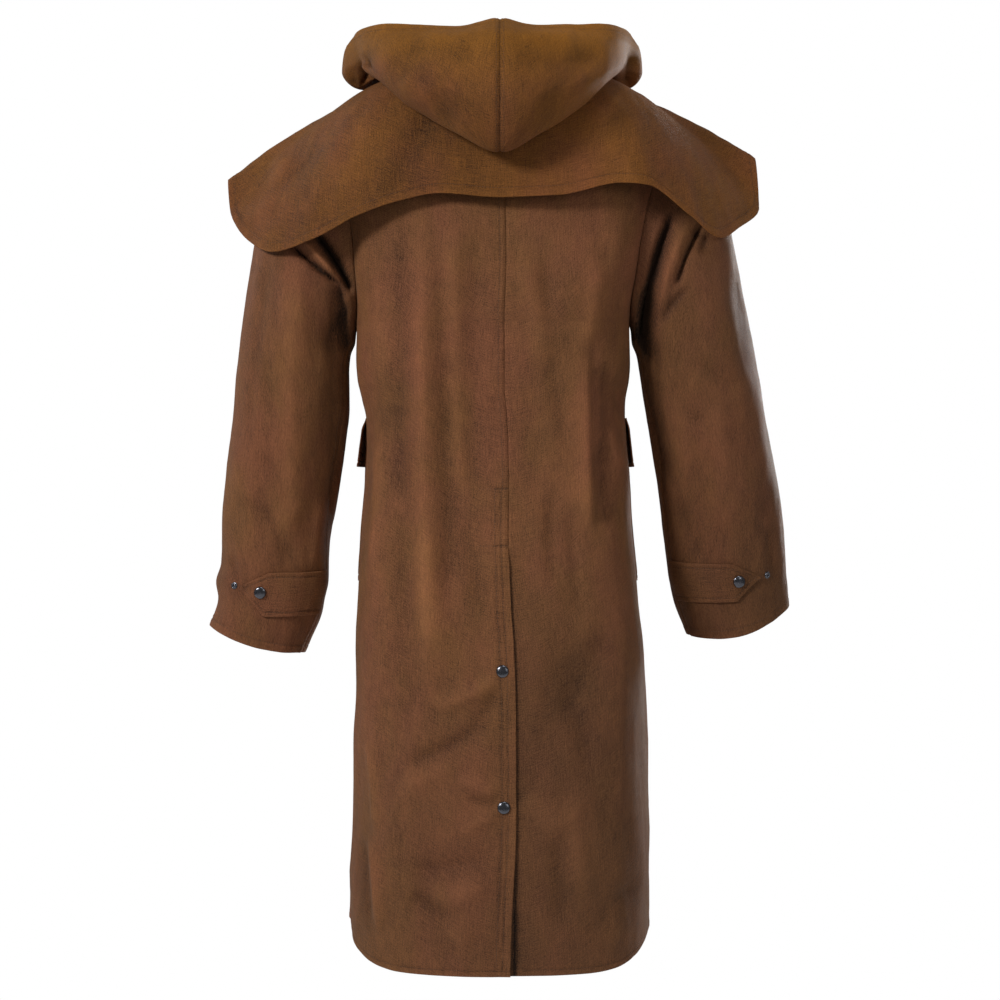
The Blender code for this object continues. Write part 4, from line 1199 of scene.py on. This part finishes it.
def body_drops():
    """Rows down the body, which meet the sleeves' columns along the armholes."""
    angles = np.linspace(0, pi, ARM_STEPS + 1)
    shoulder = np.linspace(0, ARMHOLE_TOP, SHOULDER_ROWS + 1)[:-1]
    armhole = ARMHOLE_MIDDLE - ARMHOLE_HALF_HEIGHT * np.cos(angles)
    skirt = places(ARMHOLE_LOW, HEM, HEM - ARMHOLE_LOW, (), HEM_LINES)[1:]
    box = np.add.outer(VENT_BOX, (-SEAM_LINES[0], 0, SEAM_LINES[0])).ravel()
    return np.concatenate([shoulder, armhole, np.sort(np.concatenate([skirt, box]))])[:, None]


def back_lift(share, drop):
    """How far the left back's vent edge stands over the right back."""
    edge = 1 - smooth(*VENT_LAP_FADES, share)
    step = LAYER * smooth(VENT_TOP, VENT_LAPPED, drop)
    return edge * (step + VENT_HEM_LIFT * smooth(VENT_LOOSE_FROM, HEM, drop))


def dress_left_back(sheet, above):
    """The doubled cloth, stitches and puckers down the left back's inner edge."""
    sheet.relief += CENTRE_RISE * above * (1 - smooth(*CENTRE_FELL, sheet.start))
    sheet.stitched("start", CENTRE_STITCHED, (0.0, VENT_BOX[0]))
    span = (VENT_BOX[0], HEM - BODY_HEM)
    for distance in VENT_ROWS:
        sheet.stitched("start", distance, span, LAP_STITCH_SHADE)
    for drop in VENT_BOX:
        sheet.stitched("down", drop, (0, VENT_ROWS[-1]), BOX_STITCH_SHADE)
    sheet.rub_or_shade("start", LAP_RUBBED * (1 - above))
    pucker = LAP_PUCKER_RISE * (1 - above) * unevenness(sheet.points, *LAP_PUCKER)
    sheet.relief += pucker * (1 - smooth(*LAP_PUCKER_ENDS, sheet.start))


def dress_right_back(sheet, above):
    """A painted shadow in a dark line beside the lap, broader where the lap is loose."""
    sheet.rub_or_shade("start", -VENT_SHADE * (1 - above), VENT_SHADE_WIDTH)
    loose = smooth(VENT_SNAPS[-1], HEM, sheet.down)
    sheet.rub_or_shade("start", -LOOSE_SHADE * loose, 3 * VENT_SHADE_WIDTH)
    sheet.fade(0, RIGHT_PAINTED_LIGHT)


def make_backs():
    rows = body_drops()
    for side in (1, -1):
        shares = places(0, 1, BACK_WIDTH, EDGE_LINES, SEAM_LINES)[None, :]
        lift = 0.0
        if side > 0:
            drift = VENT_HEM_DRIFT * smooth(VENT_LOOSE_FROM, HEM, rows)
            shares = shares + drift * np.clip(1 - shares / VENT_LAP, 0, 1)
            lift = back_lift(shares, rows)
        turns = back_turn(side * np.maximum(shares, LEAST_SHARE), rows)
        sheet = Sheet(coat, turns, rows, 1, lift)
        sheet.sew_down()
        sheet.hang("body", "end")
        above = 1 - smooth(VENT_TOP, VENT_LAPPED, sheet.down)
        sheet.dip("start", above * SEAM_DIP)
        sheet.dip("end", SIDE_DIP)
        dress = dress_left_back if side > 0 else dress_right_back
        dress(sheet, above)
        # Painted shade on the lower skirt, more on the right
        tone, start, full = SKIRT_SHADE[side]
        sheet.toned += tone * smooth(start, full, sheet.down) * smooth(0, SEAM_FADE, sheet.end)
        sheet.hem("low", BODY_HEM)
        sheet.lapped = ("start", "end")
        add_cloth("back_" + named(side), sheet)
        PANELS["back", side] = sheet


def make_vent():
    low = UNDERLAP_DROPS[0]
    drops = places(low, HEM, HEM - low, (), HEM_LINES)[:, None]
    shares = places(0, VENT_LAP, UNDERLAP_WIDTH, (), SEAM_LINES)[None, :]
    sheet = Sheet(coat, back_turn(shares, drops), drops)
    sheet.hang("body")
    # Painted shade, as the underlap lies in the lap's shadow
    sheet.toned += UNDERLAP_SHADE_TONE
    sheet.wear_and_painted_shade -= UNDERLAP_SHADE
    sheet.hem("low", BODY_HEM)
    sheet.lapped = ("start",)
    add_cloth("vent_underlap", sheet)


def make_fronts():
    rows = body_drops()
    for side in (1, -1):
        shares = places(0, 1 + FRONT_LAP, FRONT_WIDTH, SEAM_LINES)[None, :]
        lift = LAYER * smooth(*FRONT_LAP_FADES, shares) if side > 0 else 0.0
        sheet = Sheet(coat, front_turn(shares, rows, side), rows, 1, lift + 0.0 * rows)
        sheet.sew_down()
        sheet.hang("body", "start")
        sheet.dip("start")
        if side > 0:
            sheet.hem("end", FRONT_HEM)
            sheet.stitched("end", PLACKET, (PLACKET_TOP, HEM - BODY_HEM))
        sheet.hem("low", BODY_HEM)
        sheet.lapped = ("start",)
        add_cloth("front_" + named(side), sheet)
        PANELS["front", side] = sheet


POCKET_WIDTH = 0.140
FLAP_WIDTH = 0.160
POCKET_ROWS = (0.0018, 0.0080)
EDGE_ROW = 0.0068  # from the edge of a flap or tab to its stitches
FLAP_RUBBED = 0.7
FLAP_MIDDLE = 0.5  # share from which its front end's lower stand is full


def patch(side, drops, shares, width, out):
    """A sheet on a front, sewn on at its top, with its grid closer at its edges."""
    top, low = drops
    rows = places(top, low, low - top, SEAM_LINES)[:, None]
    columns = places(*shares, width)[None, :]
    sheet = Sheet(coat, front_turn(columns, rows, side), rows, 1, out(columns, rows))
    sheet.hang("body")
    return sheet


def make_pockets():
    top, low = FLAP_ROWS[0], FLAP_ROWS[-1]
    for side in (1, -1):

        def flap_out(shares, drops, side=side):
            ahead = 1 - (1 - FLAP_FRONT_STAND) * smooth(0, FLAP_MIDDLE, shares)
            stand = FLAP_STAND[side] * (drops - top) / (low - top) * ahead
            return LAYER + FLAP_STEP * smooth(top, FLAP_ROWS[2], drops) + stand

        pocket = patch(side, POCKET_DROPS, POCKET_SHARES, POCKET_WIDTH, lambda *_: LAYER)
        flap = patch(side, (top, low), FLAP_SHARES, FLAP_WIDTH, flap_out)
        for edge in ("start", "end", "low"):
            for row in POCKET_ROWS:
                pocket.stitched(edge, row)
            flap.stitched(edge, EDGE_ROW)
            flap.rub_or_shade(edge, FLAP_RUBBED)
        add_cloth("pocket_" + named(side), pocket)
        add_cloth("pocket_flap_" + named(side), flap)


# Sleeves

SLEEVE_LENGTH = 0.775
SLEEVE_TOP_DIP = 0.0006
SLEEVE_SEAM_RISE = 0.0005
CUFF_HEM = 0.014
SLEEVE_SEAM = (0.0022, 0.0078)  # the rows of stitches beside its back seam
SLEEVE_LINES = np.array([0.14, 0.36, 0.68])  # places between its first two lines
SLEEVE_SHADE = (0.22, 0.33)  # painted shade on the right sleeve, and how much it grows to the cuff
SLEEVE_SHADE_FROM = 0.55  # along the sleeve
TAB_LENGTH = 0.130
TAB_WIDTH = 0.060
TAB_RUBBED = 0.8
# Painted shade on the right cuff's tab
TAB_SHADE = 0.45


def arm(side):
    def surface(round_, along):
        return sleeve(round_, along, side)

    return surface


def make_sleeves():
    step = 0.5 / ARM_STEPS
    rows = places(0, CUFF_END, SLEEVE_LENGTH, SEAM_LINES)[:, None]
    parts = (("top", FRONT_SEAM - 1, BACK_SEAM), ("under", BACK_SEAM, FRONT_SEAM))
    for side in (1, -1):
        for part, start, end in parts:
            rounds = np.linspace(start, end, round((end - start) / step) + 1)
            close = SLEEVE_LINES * step
            rounds = np.sort(np.concatenate([rounds, start + close, end - close]))[None, :]
            sheet = Sheet(arm(side), rounds, rows, -side)
            sheet.sew_down()
            sheet.hang("sleeves", "top")
            sheet.dip("top", SLEEVE_TOP_DIP)
            sheet.dip("start")
            sheet.dip("end")
            if part == "top":
                sheet.double("end", SLEEVE_SEAM[-1], SLEEVE_SEAM_RISE)
                for row in SLEEVE_SEAM:
                    sheet.stitched("end", row)
            if side < 0:
                tone, growth = SLEEVE_SHADE
                sheet.toned += tone + growth * smooth(SLEEVE_SHADE_FROM, CUFF_END, sheet.down)
            sheet.hem("low", CUFF_HEM)
            sheet.lapped = ("top", "start", "end")
            add_cloth(f"sleeve_{named(side)}_{part}", sheet)
            PANELS[part, side] = sheet


def make_tabs():
    ends = CUFF_TAB["round"]
    rounds = places(ends[0], ends[-1], TAB_LENGTH, SEAM_LINES)[None, :]
    share = places(-1, 1, TAB_WIDTH)[:, None]
    half = np.interp(-rounds, -ends, CUFF_TAB["half_width"])
    for side in (1, -1):
        middle = np.interp(-rounds, -ends, CUFF_TAB["middle"]) + TAB_SHIFT[side]
        sheet = Sheet(arm(side), rounds, middle + share * half, -side, TAB_LAYER + 0.0 * share)
        sheet.hang("sleeves")
        for edge in ("top", "low"):
            sheet.stitched(edge, EDGE_ROW)
            sheet.rub_or_shade(edge, TAB_RUBBED)
        if side < 0:
            sheet.toned += TAB_SHADE
        add_cloth("cuff_tab_" + named(side), sheet)
        PANELS["tab", side] = sheet


# Cape and hood

NECK_SEWN = 0.012  # from the neck's edge to where the cape and hood lift off
CAPE_LENGTH = 0.30
# name, turns at its start and end, and about how wide it is between them
CAPE_PIECES = (
    ("cape_back", -1.0, 1.0, 0.80),
    ("cape_front_left", 1.0, 1.96, 0.44),
    ("cape_front_right", -1.0, -1.96, 0.44),
)
CAPE_LOOSENESS = 0.8  # share of the body's unevenness
CAPE_SIDE_LIGHT = (-0.9, 0.5)  # how much paler its left and right sides are: painted shade on the left, painted light on the right
HOOD_WIDTH = 0.44
HOOD_LENGTH = 0.42
HOOD_STEP = 0.0045
HOOD_LOOSENESS = 0.5
# Painted shade on the hood's left and painted light on its right
HOOD_SIDE_LIGHT = (-0.5, 1.6)
HOOD_SEAM_DIP = (0.0020, 0.0026)  # depth and width
HOOD_SEAM_SHADE = 1.6
HOOD_STITCHED = 0.0050
HOOD_LIT_ROWS = (2.9, 3.9)  # rows between which the hood takes its painted light, a paler gold up to its top


def sew_to_neck(sheet, layers):
    """Brings a sheet's top edge down onto what it is sewn to at the neck."""
    clearance = LAYER * layers_over(sheet.across, layers) - layers * CLOTH - SEAM_GAP
    sheet.relief -= clearance * (1 - smooth(0, NECK_SEWN, sheet.top))


def make_cape():
    down = places(0, 1, CAPE_LENGTH, (), CAPE_LINES)[:, None]
    for name, start, end, width in CAPE_PIECES:
        turns = places(start, end, width, SEAM_LINES, SEAM_LINES)[None, :]
        sheet = Sheet(whole_cape, turns, down)
        sheet.hang("cape", "top", CAPE_LOOSENESS)
        sheet.fade(*CAPE_SIDE_LIGHT)
        sew_to_neck(sheet, 1)
        sheet.lapped = ("start", "end")
        if name != "cape_back":
            sheet.hem("end")
            sheet.lapped = ("start",)
        sheet.hem("low")
        add_cloth(name, sheet, "cape_canvas")


def make_hood():
    turns = places(0, HOOD_END, HOOD_WIDTH)[None, :]
    rows = places(0, len(HOOD_POINTS), HOOD_LENGTH, (), CAPE_LINES, HOOD_STEP)[:, None]
    for side in (1, -1):

        def half(turn, row, side=side):
            return hood(turn, row, side)

        sheet = Sheet(half, turns, rows, -side)
        sheet.hang("hood", "top", HOOD_LOOSENESS)
        sew_to_neck(sheet, 2)
        # Painted light on the hood's top
        sheet.toned += smooth(*HOOD_LIT_ROWS, sheet.down)
        sheet.fade(*HOOD_SIDE_LIGHT)
        sheet.dip("start", *HOOD_SEAM_DIP)
        sheet.rub_or_shade("start", -HOOD_SEAM_SHADE)
        sheet.stitched("start", HOOD_STITCHED)
        sheet.hem("low")
        sheet.lapped = ("start",)
        add_cloth("hood_" + named(side), sheet, "cape_canvas")


# Snaps

CAP_PROFILE = table(
    "radius height worn",
    (0.00, 1.00, 0.30),
    (0.22, 0.985, 0.22),
    (0.42, 0.93, 0.10),
    (0.60, 0.84, 0.05),
    (0.76, 0.70, 0.10),
    (0.88, 0.54, 0.30),
    (0.955, 0.38, 0.70),
    (0.995, 0.22, 0.80),
    (1.00, 0.10, 0.40),
    (0.975, 0.00, 0.00),
    (0.88, -0.04, 0.00),
    plain="radius height worn",
)
STUD_PROFILE = table(
    "radius height worn",
    (0.00, 0.55, 0.30),
    (0.16, 0.50, 0.10),
    (0.24, 0.18, 0.00),
    (0.34, 0.14, 0.00),
    (0.42, 0.75, 0.50),
    (0.52, 1.00, 0.80),
    (0.62, 0.85, 0.50),
    (0.68, 0.35, 0.00),
    (0.84, 0.30, 0.10),
    (0.97, 0.22, 0.60),
    (1.00, 0.08, 0.20),
    (0.96, 0.00, 0.00),
    plain="radius height worn",
)
SNAP_SIDES = 48


def spun(name, profile, radius, height, point, normal):
    """A turned metal piece that stands on the cloth, and stands for the solid of the same name."""
    angles = np.arange(SNAP_SIDES) * 2 * pi / SNAP_SIDES
    radii = radius * profile["radius"][1:]
    heights = height * profile["height"]
    rings = [
        np.stack([r * np.cos(angles), r * np.sin(angles), np.full(SNAP_SIDES, z)], axis=-1)
        for r, z in zip(radii, heights[1:])
    ]
    points = np.concatenate([[[0, 0, heights[0]]], *rings, [[0, 0, heights[-1]]]])
    sides = [(i, (i + 1) % SNAP_SIDES) for i in range(SNAP_SIDES)]
    faces = [(0, 1 + i, 1 + j) for i, j in sides]
    last = 1 + (len(radii) - 1) * SNAP_SIDES
    for top in range(1, last, SNAP_SIDES):
        low = top + SNAP_SIDES
        faces += [(top + i, low + i, low + j, top + j) for i, j in sides]
    faces += [(last + j, last + i, len(points) - 1) for i, j in sides]
    mesh = smooth_mesh(name, points, faces)
    worn = profile["worn"]
    mark(mesh, "worn", np.concatenate([worn[:1], np.repeat(worn[1:], SNAP_SIDES), [0]]))
    turned = Vector(normal).to_track_quat("Z", "Y").to_matrix().to_4x4()
    turned.translation = Vector(point)
    mesh.transform(turned)
    thing = add_object(name + "_metal", mesh, METAL)
    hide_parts(name)


def snap(name, sheet, point, profile=CAP_PROFILE, radius=SNAP_RADIUS, height=SNAP_HEIGHT):
    """A snap on the finished sheet, at its place nearest to a point."""
    away = np.linalg.norm(sheet.points - point, axis=-1)
    nearest = np.unravel_index(away.argmin(), away.shape)
    normal = sheet.square[nearest]
    point = point - ((point - sheet.points[nearest]) @ normal) * normal
    spun(name, profile, radius, height, point + SNAP_SEAT / 2 * normal, normal)


def make_snaps():
    for number, drop in enumerate(VENT_SNAPS, 1):
        point = coat(back_turn(VENT_SNAP_SHARE, drop), drop)
        snap(f"vent_snap_{number}", PANELS["back", 1], point)
    for number, drop in enumerate(FRONT_SNAPS, 1):
        snap(f"front_snap_{number}", PANELS["front", 1], coat(2.0, drop))
    for side in (1, -1):
        cap, stud = (
            sleeve(round_, down + TAB_SHIFT[side], side) for round_, down in (TAB_SNAP, TAB_STUD)
        )
        snap("cuff_snap_" + named(side), PANELS["tab", side], cap)
        name = "cuff_stud_" + named(side)
        snap(name, PANELS["top", side], stud, STUD_PROFILE, STUD_RADIUS, STUD_HEIGHT)


# Studio

FLOOR = -1.75
FLOOR_RADIUS = 2.2  # it ends just below what the camera sees, as the coat stands on plain white
COAT_MIDDLE = (0, 0, -0.6)
# name, place, aim, size, power
LAMPS = (
    ("key", (2.4, 2.2, 1.1), COAT_MIDDLE, 0.7, 98),
    ("top", (-0.4, 1.1, 2.2), (0, 0.1, -0.2), 0.8, 15),
    ("fill", (-2.2, 3.2, 0.6), COAT_MIDDLE, 1.4, 22),
    ("left_rim", (2.2, -1.4, 0.5), COAT_MIDDLE, 1.2, 12),
    ("right_rim", (-2.2, -1.4, 0.5), COAT_MIDDLE, 1.2, 8),
    ("front_key", (-2.2, -2.8, 0.1), COAT_MIDDLE, 0.9, 76),
)
WORLD_STRENGTH = 0.20
CAMERA_PLACE = (0, 3.6, -0.602)
CAMERA_LENS = 92.57


def make_floor():
    bpy.ops.mesh.primitive_circle_add(
        vertices=96,
        radius=FLOOR_RADIUS,
        fill_type="NGON",
        location=(0, 0, FLOOR),
    )
    floor = bpy.context.object
    floor.name = "floor"
    floor.data.materials.append(plain("pale_floor", (0.85, 0.85, 0.85), 0.9))


def light():
    for name, place, aim, size, power in LAMPS:
        lamp = bpy.data.lights.new(name, "AREA")
        lamp.size = size
        lamp.energy = power
        thing = bpy.data.objects.new(name, lamp)
        thing.location = place
        way = Vector(aim) - Vector(place)
        thing.rotation_euler = way.to_track_quat("-Z", "Y").to_euler()
        bpy.context.scene.collection.objects.link(thing)
    world = bpy.data.worlds.new("studio")
    world.use_nodes = True
    tree = world.node_tree
    soft = tree.nodes["Background"]
    soft.inputs["Strength"].default_value = WORLD_STRENGTH
    white = tree.nodes.new("ShaderNodeBackground")
    for node in (soft, white):
        node.inputs["Color"].default_value = (1, 1, 1, 1)
    either = tree.nodes.new("ShaderNodeMixShader")
    path = tree.nodes.new("ShaderNodeLightPath")
    tree.links.new(path.outputs["Is Camera Ray"], either.inputs[0])
    tree.links.new(soft.outputs[0], either.inputs[1])
    tree.links.new(white.outputs[0], either.inputs[2])
    tree.links.new(either.outputs[0], tree.nodes["World Output"].inputs["Surface"])
    bpy.context.scene.world = world


def set_camera():
    camera = bpy.data.cameras.new("camera")
    camera.lens = CAMERA_LENS
    camera.sensor_width = 36
    thing = bpy.data.objects.new("camera", camera)
    thing.location = CAMERA_PLACE
    thing.rotation_euler = (pi / 2, 0, pi)
    bpy.context.scene.collection.objects.link(thing)
    bpy.context.scene.camera = thing
    bpy.context.scene.view_settings.view_transform = "Standard"


make_backs()
make_vent()
make_fronts()
make_pockets()
make_sleeves()
make_tabs()
make_cape()
make_hood()
make_snaps()
make_floor()
light()
set_camera()

bpy.context.view_layer.update()
